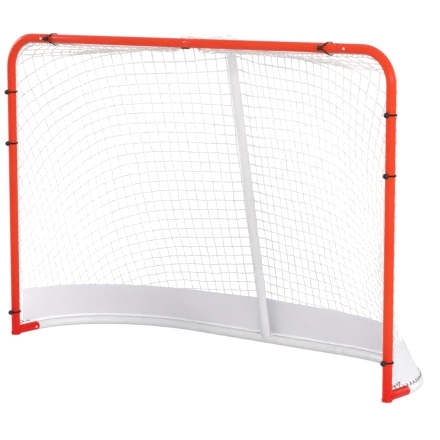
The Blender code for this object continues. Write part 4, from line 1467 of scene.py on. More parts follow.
@dataclass
class MouthFrame(TubeWork):
    """The red frame round the mouth: posts, crossbar, foot sockets, foot caps and weld beads."""

    bend_steps: int = 22
    post_rings: tuple[float, ...] = (0.30, 0.60, 0.90)
    bar_rings: tuple[float, float] = (-0.30, 0.35)
    socket_rings: tuple[float, ...] = (0.040, 0.065)
    cap_clearance: float = 0.0004
    cap_wall: float = 0.0012
    cap_height: float = 0.012
    cap_round: float = 0.0018
    rim_round: float = 0.0003
    bead_ripples: int = 24

    @property
    def cap_radius(self) -> float:
        """The foot caps' outer radius."""
        return self.plan.tube_radius + self.cap_clearance + self.cap_wall

    def build(self) -> None:
        """Builds every red piece."""
        for side in Side:
            self.post(side)
            self.foot_socket(side)
            self.foot_cap(side)
            self.bead(side)
        self.crossbar()

    def post(self, side: Side) -> None:
        """One post with its bend and its stub.

        Args:
            side: The side on which it stands.
        """
        plan = self.plan
        stub = plan.on_bar(side.value * (plan.crossbar_end + plan.seam_gap))
        corners = [plan.on_post(side, plan.cap_floor + plan.gap), plan.on_post(side, plan.bar_z), stub]
        foot, *bent, end = TubeBender.bend(corners, plan.corner_radius, self.bend_steps)
        near = self.beside(self.buttons["crossbar_" + side.label][0].x)
        straight = [plan.on_post(side, height) for height in self.post_rings]
        by_hole = [plan.on_bar(x) for x in sorted(near, key=abs, reverse=True)]
        rings = [(place, plan.tube_radius) for place in (foot, *straight, *bent, *by_hole, end)]
        self.fit("post_" + side.label, rings, Turn.Y, [self.hole("crossbar_" + side.label)])

    def crossbar(self) -> None:
        """Both halves of the crossbar, with the left one's insert in the right one."""
        plan = self.plan
        full, thin, end, seam = plan.tube_radius, plan.insert_radius, plan.crossbar_end, plan.crossbar_seam
        near = self.beside(self.buttons["crossbar_center"][0].x)
        left = [
            (-end - plan.insert_length, thin), (-end, thin), (-end + plan.swage_step, full),
            (self.bar_rings[0], full),
            (self.bolt_x - self.hole_margin, full), (seam - plan.swage_step, full), (seam, thin),
            *[(x, thin) for x in near], (seam + plan.centre_insert, thin),
        ]
        right = [
            (seam + plan.seam_gap, full), *[(x, full) for x in near], (self.bar_rings[1], full),
            (end - plan.swage_step, full), (end, thin), (end + plan.insert_length, thin),
        ]
        for node, places in (("crossbar_left", left), ("crossbar_right", right)):
            rings = [(plan.on_bar(x), radius) for x, radius in places]
            cutters = [self.hole("crossbar_center"), self.hole(node)]
            if places is left:
                cutters.append(self.bolt_hole())
            self.fit(node, rings, Turn.Z, cutters)

    def foot_socket(self, side: Side) -> None:
        """The stub behind a post that takes the base, cut to fit the post and its cap.

        Args:
            side: The side on which it lies.
        """
        plan, x = self.plan, side.value * self.plan.post_x
        label = "foot_" + side.label
        near = self.beside(self.buttons[label][0].y - plan.mouth_y)
        backs = [plan.tube_radius / 2, *self.socket_rings, *near, plan.socket_reach]
        rings = [(plan.mouth(x, back, plan.tube_radius), plan.tube_radius) for back in backs]
        cutters = []
        sizes = ((plan.tube_radius, 3 * plan.tube_radius), (self.cap_radius, self.cap_height + plan.gap))
        for radius, top in sizes:
            cope = Bench.cylinder("cope", radius + plan.gap, -self.cope_past, top, self.cope_sides)
            cutters.append(Bench.move(cope, Matrix.Translation(plan.mouth(x, 0, 0))))
        self.fit("foot_socket_" + side.label, rings, Turn.X, [*cutters, self.hole(label)])

    def foot_cap(self, side: Side) -> None:
        """The shallow cup on the foot of a post.

        Args:
            side: The side on which it stands.
        """
        name = "foot_cap_" + side.label
        item = Bench.cylinder(name + "_cup", self.cap_radius, 0.0, self.cap_height, self.cope_sides)
        Bench.step_top(item, self.cap_wall, self.plan.cap_floor - self.cap_height)
        Bench.tidy(item)
        Bench.round_end(item, 0.0, self.cap_round, segments=4)
        Bench.soften(item, self.rim_round)
        Bench.move(item, Matrix.Translation(self.plan.on_post(side, 0)))
        self.shop.hand_over(Bench.shade(item), self.finish, name)

    def bead(self, side: Side) -> None:
        """The weld bead where a foot socket meets its post, laid above the cap.

        Args:
            side: The side on which it lies.
        """
        radius = self.plan.tube_radius
        half = math.pi / 2 + math.asin((radius - self.cap_height - self.bead_radius) / radius)
        start = self.plan.on_post(side, radius)
        axes = (start, Y, Z, X)
        self.weld("foot_weld_" + side.label, axes, (half, -half), self.bead_ripples, taper=True)


@dataclass
class BaseAndBrace(TubeWork):
    """The white tubes: the base on the ground, and the brace with its saddle, bolt and weld."""

    finish: Finish = WHITE_COAT
    bead_ripples: int = 32
    rail_rings: tuple[float, ...] = (0.05, 0.20)
    socket_rings: tuple[float, ...] = (0.05, 0.15)
    leg_rings: tuple[float, ...] = (0.60, 0.90)
    cope_half: float = 0.06
    curve_steps: int = 34
    bend_steps: int = 14
    saddle_width: float = 0.034
    saddle_upper: float = math.radians(10)
    saddle_lower: float = math.radians(-102)
    saddle_steps: int = 28
    saddle_round: float = 0.0009
    plug_length: float = 0.022
    plug_clearance: float = 0.0004
    plug_round: float = 0.0008
    rib_count: int = 3
    rib_start: float = 0.006
    rib_pitch: float = 0.005
    rib_width: float = 0.0016
    rib_height: float = 0.0006
    bolt_radius: float = 0.0025
    bolt_head_radius: float = 0.0045
    bolt_head_height: float = 0.003
    bolt_head_round: float = 0.0016
    bolt_grip: float = 0.006
    bolt_sides: int = 36
    edge_round: float = 0.0002
    key_radius: float = 0.0015
    key_depth: float = 0.0018
    key_length: float = 0.010

    def build(self) -> None:
        """Builds every white piece, and the saddle and bolt."""
        for side in Side:
            self.base_side(side)
        self.base_rear()
        self.brace()
        axes = (self.plan.leg_point(0), self.plan.leg_direction, X, self.plan.leg_side)
        self.weld("brace_weld", axes, (0, 2 * math.pi), self.bead_ripples)
        self.saddle()
        self.bolt()

    def base_side(self, side: Side) -> None:
        """One curved side of the base, with its insert in the foot socket.

        Args:
            side: The side on which it lies.
        """
        plan, sign = self.plan, side.value
        full, thin, mouth = plan.tube_radius, plan.insert_radius, plan.socket_reach + plan.gap
        by_hole = self.buttons["foot_" + side.label][0].y - plan.mouth_y - self.hole_margin
        straight = [(plan.socket_reach - plan.insert_length, thin), (by_hole, thin), (mouth, thin),
                    (mouth + plan.swage_step, full)]
        rings = [(plan.mouth(sign * plan.post_x, back, full), radius) for back, radius in straight]
        rings += [(place, full) for place in plan.base_curve(sign, full, self.curve_steps)]
        rings.append((plan.mouth(sign * (plan.rear_seam + plan.seam_gap), plan.rail_depth, full), full))
        cutters = [self.hole(place + side.label) for place in ("foot_", "rear_")]
        self.fit("base_side_" + side.label, rings, Turn.Z, cutters)

    def base_rear(self) -> None:
        """The rear rail, swaged at both ends."""
        plan = self.plan
        full, thin, seam = plan.tube_radius, plan.insert_radius, plan.rear_seam
        end = seam + plan.insert_length
        half = [*[(x, full) for x in self.rail_rings], (seam - plan.swage_step, full), (seam, thin),
                (plan.base_straight, thin), ((plan.base_straight + end) / 2, thin), (end, thin)]
        places = [(-x, radius) for x, radius in reversed(half)] + half
        rings = [(plan.mouth(x, plan.base_back(x), full), radius) for x, radius in places]
        self.fit("base_rear", rings, Turn.Z, [self.hole("rear_" + side.label) for side in Side])

    def brace(self) -> None:
        """The socket on the rear rail and the bent tube that stands in it."""
        plan = self.plan
        full, thin = plan.tube_radius, plan.insert_radius
        seam = (plan.brace_seam_height - full) / plan.leg_direction.z
        near, far = self.beside((self.buttons["brace"][0] - plan.leg_point(0)).dot(plan.leg_direction))
        lengths = (full / 2, *self.socket_rings, near, far, seam)
        rings = [(plan.leg_point(length), full) for length in lengths]
        cope = Bench.cylinder("cope", full + plan.gap, -self.cope_half, self.cope_half, self.cope_sides)
        Bench.move(cope, axes_at(plan.mouth(0, plan.rail_depth, full), Z, X))
        self.fit("brace_socket", rings, Turn.X, [cope, self.hole("brace")])
        end = plan.mouth(0, full + plan.saddle_wall + 2 * plan.gap, plan.arm_z)
        corners = [plan.leg_point(0), plan.leg_corner, end]
        bent = TubeBender.bend(corners, plan.brace_bend_radius, self.bend_steps)
        start = seam + plan.seam_gap
        lengths = [(seam - plan.insert_length, thin), (near, thin), (start, thin),
                   (start + plan.swage_step, full), *[(length, full) for length in self.leg_rings]]
        rings = [(plan.leg_point(length), radius) for length, radius in lengths]
        rings += [(place, full) for place in bent[1:]]
        self.fit("brace_tube", rings, Turn.X, [self.hole("brace")], "bent")

    def saddle(self) -> None:
        """The plastic cradle between the arm and the crossbar, with its ribbed plug."""
        plan = self.plan
        root = plan.tube_radius + plan.gap + plan.saddle_wall / 2
        scale, place = (self.saddle_width, plan.saddle_wall, 1.0), (0, root, 0)
        item = Bench.new(bpy.ops.mesh.primitive_plane_add, "saddle_cradle", scale, size=1.0, location=place)
        with Bench.edit(item):
            span = self.saddle_upper - self.saddle_lower
            bpy.ops.mesh.spin(steps=self.saddle_steps, angle=-span, center=(0, 0, 0), axis=(1, 0, 0))
        Bench.tidy(item)
        turn = Matrix.Rotation(self.saddle_lower, 4, "X")
        Bench.move(item, Matrix.Translation(plan.on_bar(0)) @ turn)
        Bench.soften(item, self.saddle_round, segments=3)
        radius = plan.tube_radius - plan.tube_wall - self.plug_clearance
        plug = Bench.cylinder("plug", radius - self.rib_height, root, root + self.plug_length)
        Bench.soften(plug, self.plug_round)
        for number in range(self.rib_count):
            low = root + self.rib_start + self.rib_pitch * number
            Bench.combine(plug, Bench.cylinder("rib", radius, low, low + self.rib_width), "UNION")
        Bench.move(plug, axes_at(plan.mouth(0, 0, plan.arm_z), X, Y))
        Bench.combine(item, plug, "UNION")
        Bench.combine(item, self.bolt_hole())
        self.shop.hand_over(Bench.shade(item), BLACK_PLASTIC, "brace_saddle")

    def bolt(self) -> None:
        """The button-head bolt up through the saddle, with a hex socket in its head."""
        plan = self.plan
        under = -(plan.tube_radius + plan.saddle_wall + 2 * plan.gap)
        foot = under - self.bolt_head_height
        item = Bench.cylinder("saddle_bolt_turned", self.bolt_head_radius, foot, under, self.bolt_sides)
        Bench.step_top(item, self.bolt_head_radius - self.bolt_radius, plan.saddle_wall + self.bolt_grip)
        Bench.round_end(item, foot, self.bolt_head_round, segments=5)
        key = (self.key_radius, under - self.key_length, foot + self.key_depth)
        Bench.combine(item, Bench.cylinder("key", *key, sides=6))
        Bench.soften(item, self.edge_round)
        Bench.move(item, Matrix.Translation(self.bolt_place))
        self.shop.hand_over(Bench.shade(item), STEEL, "saddle_bolt")


@dataclass
class SnapButtons:
    """The eight snap buttons: a domed button on the moving leaf of its spring."""

    plan: GoalPlan
    shop: Workshop
    radius: float = 0.004
    proud: float = 0.0035
    dome: float = 0.0018
    crown: float = 0.0002
    leaf_width: float = 0.008
    leaf_thickness: float = 0.001
    leaf_length: float = 0.020
    leaf_heel: float = 0.006
    leaf_round: float = 0.0003
    facets: int = 16
    sides: int = 36

    def directions(self) -> dict[str, tuple[Vector, Vector]]:
        """Each button's outward direction, and the one in which its leaf runs from its heel."""
        return {
            "crossbar_center": (Y, -X), "crossbar_left": (-Y, X), "crossbar_right": (-Y, -X),
            "foot_left": (X, Y), "foot_right": (-X, Y), "rear_left": (-Y, X), "rear_right": (-Y, -X),
            "brace": (-self.plan.leg_side, self.plan.leg_direction),
        }

    def places(self) -> dict[str, Hole]:
        """The point on its tube's axis and the outward direction of each button."""
        made = {}
        for label, (outward, _) in self.directions().items():
            node = bpy.data.objects["snap_button_" + label]
            corners = as_array([corner.co for corner in node.data.vertices])
            heights = corners @ np.array(outward)
            crown = corners[heights > heights.max() - self.crown].mean(axis=0)
            made[label] = (Vector(crown) - outward * (self.plan.tube_radius + self.proud), outward)
        return made

    def model(self) -> Piece:
        """One button at the origin, its leaf along X and its dome along Z."""
        plan = self.plan
        inner = (plan.insert_radius - plan.tube_wall) * math.cos(math.pi / self.facets) - plan.gap
        middle = math.sqrt(inner ** 2 - (self.leaf_width / 2) ** 2) - self.leaf_thickness / 2
        top = plan.tube_radius + self.proud
        item = Bench.cylinder("button_model", self.radius, middle, top, self.sides)
        Bench.round_end(item, top, self.dome, segments=6)
        size = (self.leaf_length + self.leaf_heel, self.leaf_width, self.leaf_thickness)
        place = ((self.leaf_length - self.leaf_heel) / 2, 0, middle)
        leaf = Bench.new(bpy.ops.mesh.primitive_cube_add, "leaf", size, size=1.0, location=place)
        Bench.soften(leaf, self.leaf_round)
        Bench.combine(item, leaf, "UNION")
        return Bench.shade(item)

    def build(self) -> None:
        """Copies the button to its eight places, each on its own body."""
        model = self.model()
        for label, (place, outward) in self.places().items():
            matrix = axes_at(place, self.directions()[label][1], outward)
            item = Bench.copy(model, "button_dome_" + label, matrix)
            self.shop.hand_over(item, STEEL, "snap_button_" + label, "button_" + label)
        bpy.data.objects.remove(model, do_unlink=True)


# Columns of meshes between the goal's middle and places on the net, counted on the photograph: each
# line runs from the middle to a post, and the lines go down from the crossbar to the skirt.
COLUMN_COUNTS = (
    (0.0, 4.4, 8.7, 12.9, 17.0, 21.2),
    (0.0, 4.5, 8.7, 12.9, 17.1, 21.1),
    (0.0, 4.7, 9.1, 13.6, 18.1, 21.9),
    (0.0, 4.8, 9.6, 14.5, 19.4, 24.0),
    (0.0, 4.9, 10.1, 15.2, 20.5, 26.5),
    (0.0, 5.1, 10.5, 15.8, 21.5, 28.7),
    (0.0, 5.5, 11.3, 16.5, 22.6, 30.5),
    (0.0, 6.0, 11.9, 17.5, 24.0, 31.7),
)
# Rows of meshes between the crossbar and the same places.
ROW_COUNTS = (
    (0.0, 0.0, 0.0, 0.0, 0.0, 0.0),
    (3.1, 3.0, 3.0, 2.8, 2.3, 1.6),
    (6.3, 6.5, 6.9, 6.8, 5.5, 3.7),
    (10.4, 11.1, 11.5, 11.2, 9.2, 6.4),
    (15.4, 15.8, 16.0, 15.3, 12.7, 8.6),
    (20.5, 20.5, 20.4, 19.3, 16.4, 11.4),
    (25.6, 25.3, 24.9, 23.5, 20.2, 15.0),
    (30.7, 30.3, 29.8, 27.9, 23.7, 19.9),
)


@dataclass
class Netting:
    """The net: twine strings knotted where they cross, laid as a real square mesh pulls."""

    surface: NetPlan
    shop: Workshop
    string_radius: float = 0.0024
    edge_radius: float = 0.0019
    knot_size: float = 0.0030
    knot_spread: float = 0.12
    knot_flat: float = 0.8
    knot_long: float = 1.15
    string_sides: int = 5
    fineness: int = 6
    steps_per_mesh: int = 2
    end_space: float = 0.2
    whole: float = 0.001
    wander: float = 0.0011
    seed: int = 11

    def build(self) -> None:
        """Lays every string and ties every knot."""
        fine = self.surface.grid[: self.surface.rows + 1]
        for axis in (0, 1):
            fine = refine(fine, self.fineness, axis)
        across, down = self.counts(COLUMN_COUNTS, -1.0, fine.shape), self.counts(ROW_COUNTS, 1.0, fine.shape)
        low, high, lowest = math.ceil(across.min()), math.floor(across.max()), math.floor(down.max())
        cords, knot = CordMaker(self.string_sides), self.knot_shape()
        chance = random.Random(self.seed)
        loose = np.random.default_rng(self.seed).normal(0, self.wander, (high - low + 3, lowest + 3, 3))
        families = ((across, down, range(low, high + 1)), (down, across, range(1, lowest + 1)))
        for values, order, levels in families:
            for level in levels:
                line = self.level_line(fine, values, order, level)
                if line is None:
                    continue
                counts, path = self.stepped(*line)
                fixed = np.full(len(counts), float(level))
                columns, rows = (fixed, counts) if values is across else (counts, fixed)
                shift = self.loosened(loose, columns - low + 1.0, rows)
                held = np.clip(np.minimum(counts - counts[0], counts[-1] - counts), 0.0, 1.0)[:, None]
                cords.lay(path + shift * held, self.string_radius)
                if values is down:
                    continue
                for number in range(1, len(counts) - 1):
                    if abs(counts[number] - round(counts[number])) < self.whole:
                        matrix = self.knot_matrix(path[number + 1] - path[number - 1], chance)
                        cords.lump(knot, matrix, path[number] + shift[number])
        edge = self.surface.rim(self.surface.setback)
        cords.lay(edge[edge[:, 2] > self.surface.skirt_top], self.edge_radius)
        self.shop.hand_over(cords.make("net_mesh"), NET_TWINE, "net")

    @staticmethod
    def counts(table: Sequence[Sequence[float]], mirror: float, shape: tuple[int, ...]) -> Array:
        """Spreads a table of mesh counts over the surface.

        Args:
            table: The counts from the middle to the right post, from the crossbar to the skirt.
            mirror: The sign that they take on the left.
            shape: The size of the surface's fine grid.

        Returns:
            The count at each point of the grid.
        """
        right = np.array(table)
        both = np.concatenate([right[:, :0:-1] * mirror, right], axis=1)
        steps = [(shape[axis] - 1) // (both.shape[axis] - 1) for axis in (0, 1)]
        return refine(refine(both, steps[0]), steps[1], 1)

    @staticmethod
    def level_line(
        points: Array, values: Array, order: Array, level: float
    ) -> tuple[Array, Array] | None:
        """The line on which one count has a level.

        Args:
            points: The surface's fine grid.
            values: The count that is level on the line.
            order: The other count, which grows along the line.
            level: The level.

        Returns:
            The other count and the place at each point of the line, or None for a short one.
        """
        above = values > level
        counts, places = [], []
        for near, far in ((np.s_[:-1], np.s_[1:]), (np.s_[:, :-1], np.s_[:, 1:])):
            hit = above[near] != above[far]
            first, second = values[near][hit], values[far][hit]
            share = (level - first) / (second - first)
            counts.append(order[near][hit] * (1 - share) + order[far][hit] * share)
            places.append(points[near][hit] * (1 - share)[:, None] + points[far][hit] * share[:, None])
        counts, places = np.concatenate(counts), np.concatenate(places)
        ranks = np.argsort(counts)
        return (counts[ranks], places[ranks]) if len(counts) > 3 else None

    def stepped(self, counts: Array, places: Array) -> tuple[Array, Array]:
        """Takes points of a string at even steps between its knots, and at its ends.

        Args:
            counts: The count at each known point.
            places: Those points.

        Returns:
            The counts and the places of the points taken.
        """
        step = 1.0 / self.steps_per_mesh
        first = math.ceil(counts[0] / step + self.end_space)
        last = math.floor(counts[-1] / step - self.end_space)
        wanted = np.concatenate([[counts[0]], np.arange(first, last + 1) * step, [counts[-1]]])
        return wanted, lerped(wanted, counts, places)

    @staticmethod
    def loosened(loose: Array, columns: Array, rows: Array) -> Array:
        """How far a string's points wander, with the same value at a knot for both strings.

        Args:
            loose: How far each knot wanders.
            columns: The points' columns among the knots.
            rows: Their rows.

        Returns:
            The shift of each point.
        """
        c0 = np.clip(columns.astype(int), 0, loose.shape[0] - 2)
        r0 = np.clip(rows.astype(int), 0, loose.shape[1] - 2)
        c, r = (columns - c0)[:, None], (rows - r0)[:, None]
        upper = loose[c0, r0] * (1 - c) + loose[c0 + 1, r0] * c
        lower = loose[c0, r0 + 1] * (1 - c) + loose[c0 + 1, r0 + 1] * c
        return upper * (1 - r) + lower * r

    @staticmethod
    def knot_shape() -> tuple[Array, Array]:
        """A knot's points and triangles: a ball of few faces."""
        shape = bmesh.new()
        bmesh.ops.create_icosphere(shape, subdivisions=1, radius=1.0)
        points = as_array([corner.co for corner in shape.verts])
        triangles = np.array([[corner.index for corner in face.verts] for face in shape.faces])
        shape.free()
        return points, triangles

    def knot_matrix(self, heading: Array, chance: random.Random) -> Array:
        """Turns and scales one knot, drawn out along its column's string.

        Args:
            heading: The string's direction.
            chance: Where its size is drawn from.

        Returns:
            The matrix.
        """
        along = unit(heading)
        beside = np.cross(along, (0.0, 1.0, 0.0))
        beside /= max(np.linalg.norm(beside), 1e-6)
        size = self.knot_size * chance.uniform(1.0 - self.knot_spread, 1.0 + self.knot_spread)
        flat = np.cross(along, beside) * size * self.knot_flat
        return np.column_stack([beside * size, flat, along * size * self.knot_long])


@dataclass
class Lacing:
    """The border rope, the twine that laces the net to it, and the cord through the hem."""

    surface: NetPlan
    shop: Workshop
    lace_radius: float = 0.0010
    lace_pitch: float = 0.042
    lace_points: int = 14
    lace_near: float = -0.0006
    lace_far: float = 0.0030
    lace_half_width: float = 0.0042
    stitch_radius: float = 0.0013
    stitch_pitch: float = 0.024
    stitch_points: int = 12
    stitch_outside: float = 0.6
    stitch_low: float = -1.45
    stitch_high: float = 0.9
    stitch_depth: float = 0.4
    loop_half: float = 0.0105
    loop_half_width: float = 0.0062
    loop_backs: tuple[float, ...] = (0.036, 0.066)
    loop_heights: tuple[float, ...] = (0.006, 0.0125)
    loop_inner_height: float = 0.0035
    loop_points: int = 18
    rim_points: int = 2400
    hem_points: int = 3000
    rope_sides: int = 10
    cord_sides: int = 6

    def build(self) -> None:
        """Lays each of its cords."""
        rope, radius = self.surface.rim(0.0), self.surface.rope_radius
        self.shop.cord("border_rope_laid", ROPE_TWINE, self.rope_sides, rope, radius, "net_border_rope")
        self.edge_lace()
        self.hem_stitches()

    def edge_lace(self) -> None:
        """A running lace through the rope and round the net's edge string."""
        rims = (self.surface.rim(setback, times=6) for setback in (0.0, self.surface.setback))
        lines = [sampled(rim, self.rim_points) for rim in rims]
        turns = round(run_along(lines[0])[-1] / self.lace_pitch)
        rope, edge = (sampled(line, turns * self.lace_points) for line in lines)
        across = unit(edge - rope)
        beside = np.cross(unit(np.gradient(rope, axis=0)), across)
        angle = np.linspace(0, 2 * math.pi * turns, len(rope))[:, None]
        far = np.linalg.norm(edge - rope, axis=1)[:, None] + self.lace_far
        middle, half = (self.lace_near + far) / 2, (far - self.lace_near) / 2
        path = rope + across * (middle + half * np.cos(angle)) + beside * self.lace_half_width * np.sin(angle)
        self.shop.cord("net_edge_lacing", EDGE_TWINE, self.cord_sides, path, self.lace_radius)

    def hem_stitches(self) -> None:
        """Stitches down the hem's outer side and through it, and slack loops at its two ends, dark brown as
        painted shade.
        """
        surface, plan = self.surface, self.surface.plan
        hem = sampled(refine(surface.hem(), times=4), self.hem_points)
        turns = round(run_along(hem)[-1] / self.stitch_pitch)
        hem = sampled(hem, turns * self.stitch_points)
        outward = unit(np.cross((0.0, 0.0, 1.0), np.gradient(hem, axis=0)))
        share = np.linspace(0, turns, len(hem)) % 1.0
        ends = (self.stitch_low, self.stitch_high, self.stitch_low)
        swing = np.interp(share, (0.0, self.stitch_outside, 1.0), ends)
        inside, outside = surface.hem_radius * self.stitch_depth, surface.hem_radius + self.stitch_radius
        reach = np.where(share < self.stitch_outside, outside, inside)
        path = hem + outward * (np.cos(swing) * reach)[:, None]
        path[:, 2] += np.sin(swing) * reach
        cords = CordMaker(self.cord_sides)
        cords.lay(path, self.stitch_radius)
        angles = np.linspace(0.0, math.pi, self.loop_points)
        for side in Side:
            for back, height in zip(self.loop_backs, self.loop_heights):
                for facing, rise in ((side.value, height), (-side.value, self.loop_inner_height)):
                    x = side.value * plan.post_x + facing * self.loop_half_width * np.sin(angles)
                    y = plan.mouth_y + back - self.loop_half * np.cos(angles)
                    z = surface.hem_z + (surface.hem_radius + rise) * np.sin(angles)
                    cords.lay(np.column_stack([x, y, z]), self.stitch_radius)
        self.shop.hand_over(cords.make("hem_stitches"), SHADOW_BROWN_TWINE)


@dataclass
class Skirt:
    """The fabric skirt along the base, and the roll of its hem."""

    surface: NetPlan
    shop: Workshop
    thickness: float = 0.0009
    end_inset: float = 0.20
    across_steps: int = 7
    down_steps: int = 5
    slack: float = 0.0016
    wave_counts: tuple[int, ...] = (3, 5, 8, 13)
    held_share: float = 0.02
    seam_share: float = 0.300
    hem_swell: float = 0.0002
    hem_swells: int = 90
    hem_points: int = 420
    hem_sides: int = 14
    seed: int = 5

    def build(self) -> None:
        line = sampled(refine(self.surface.hem(), times=4), self.hem_points)
        swell = self.hem_swell * (np.sin(np.linspace(0, self.hem_swells * math.pi, len(line))) - 1.0)
        radius = self.surface.hem_radius + swell
        hem = self.shop.cord("skirt_hem_roll", HEM_TAPE, self.hem_sides, line, radius, "skirt_hem")
        grid = self.cloth()
        lengths = [float(run_along(row)[-1]) for row in grid]
        width, longest = lengths[0], max(lengths)
        height = float(run_along(grid[:, grid.shape[1] // 2])[-1])
        log.info("skirt: %.3f m along its top, %.3f m at most, %.3f m high", width, longest, height)
        item = self.sheet("skirt_cloth", grid)
        Bench.modify(item, "SOLIDIFY", thickness=self.thickness, offset=0.0)
        colours = ((0.85, 0.845, 0.885), (0.80, 0.795, 0.835), (0.86, 0.86, 0.88))
        weave = WovenSkirt("skirt_weave", Slot.FABRIC, *colours, height, width, width * self.seam_share)
        self.shop.hand_over(Bench.shade(item, degrees=40.0), weave, "skirt")

    def cloth(self) -> Array:
        """The skirt's fine grid, set in from its ends, with a little slack in it."""
        grid = refine(refine(self.surface.grid[self.surface.rows:], self.across_steps, 1), self.down_steps)
        skip = round(self.end_inset * self.across_steps)
        grid = grid[:, skip:-skip]
        rng = np.random.default_rng(self.seed)
        share = np.linspace(0, 1, grid.shape[1])
        wave = sum(np.sin(2 * math.pi * (share * count + rng.random())) / count for count in self.wave_counts)
        belly = np.sin(np.linspace(0, math.pi, grid.shape[0]))[:, None]
        out = unit(np.cross(np.gradient(grid, axis=1), (0.0, 0.0, 1.0)))
        ends = np.clip(np.minimum(share, 1 - share) / self.held_share, 0, 1)
        return grid + out * (self.slack * belly * wave * ends)[:, :, None]

    @staticmethod
    def sheet(name: str, grid: Array) -> Piece:
        """An open sheet through a grid, with a UV map in metres: across from the left, and up.

        Args:
            name: Its name.
            grid: The grid's points, from its top.

        Returns:
            The sheet.
        """
        rows, columns = grid.shape[:2]
        number = np.arange(rows * columns).reshape(rows, columns)
        faces = np.stack([number[:-1, :-1], number[:-1, 1:], number[1:, 1:], number[1:, :-1]], axis=-1)
        mesh = bpy.data.meshes.new(name)
        mesh.from_pydata(grid.reshape(-1, 3).tolist(), [], faces.reshape(-1, 4).tolist())
        drops = run_along(grid[:, columns // 2])
        spots = np.stack(np.meshgrid(run_along(grid[0]), drops[-1] - drops), axis=-1).reshape(-1, 2)
        layer = mesh.uv_layers.new(name="cloth")
        corners = np.empty(len(mesh.loops), int)
        mesh.loops.foreach_get("vertex_index", corners)
        layer.data.foreach_set("uv", spots[corners].astype(np.float32).ravel())
        mesh.update()
        return Bench.link(name, mesh)


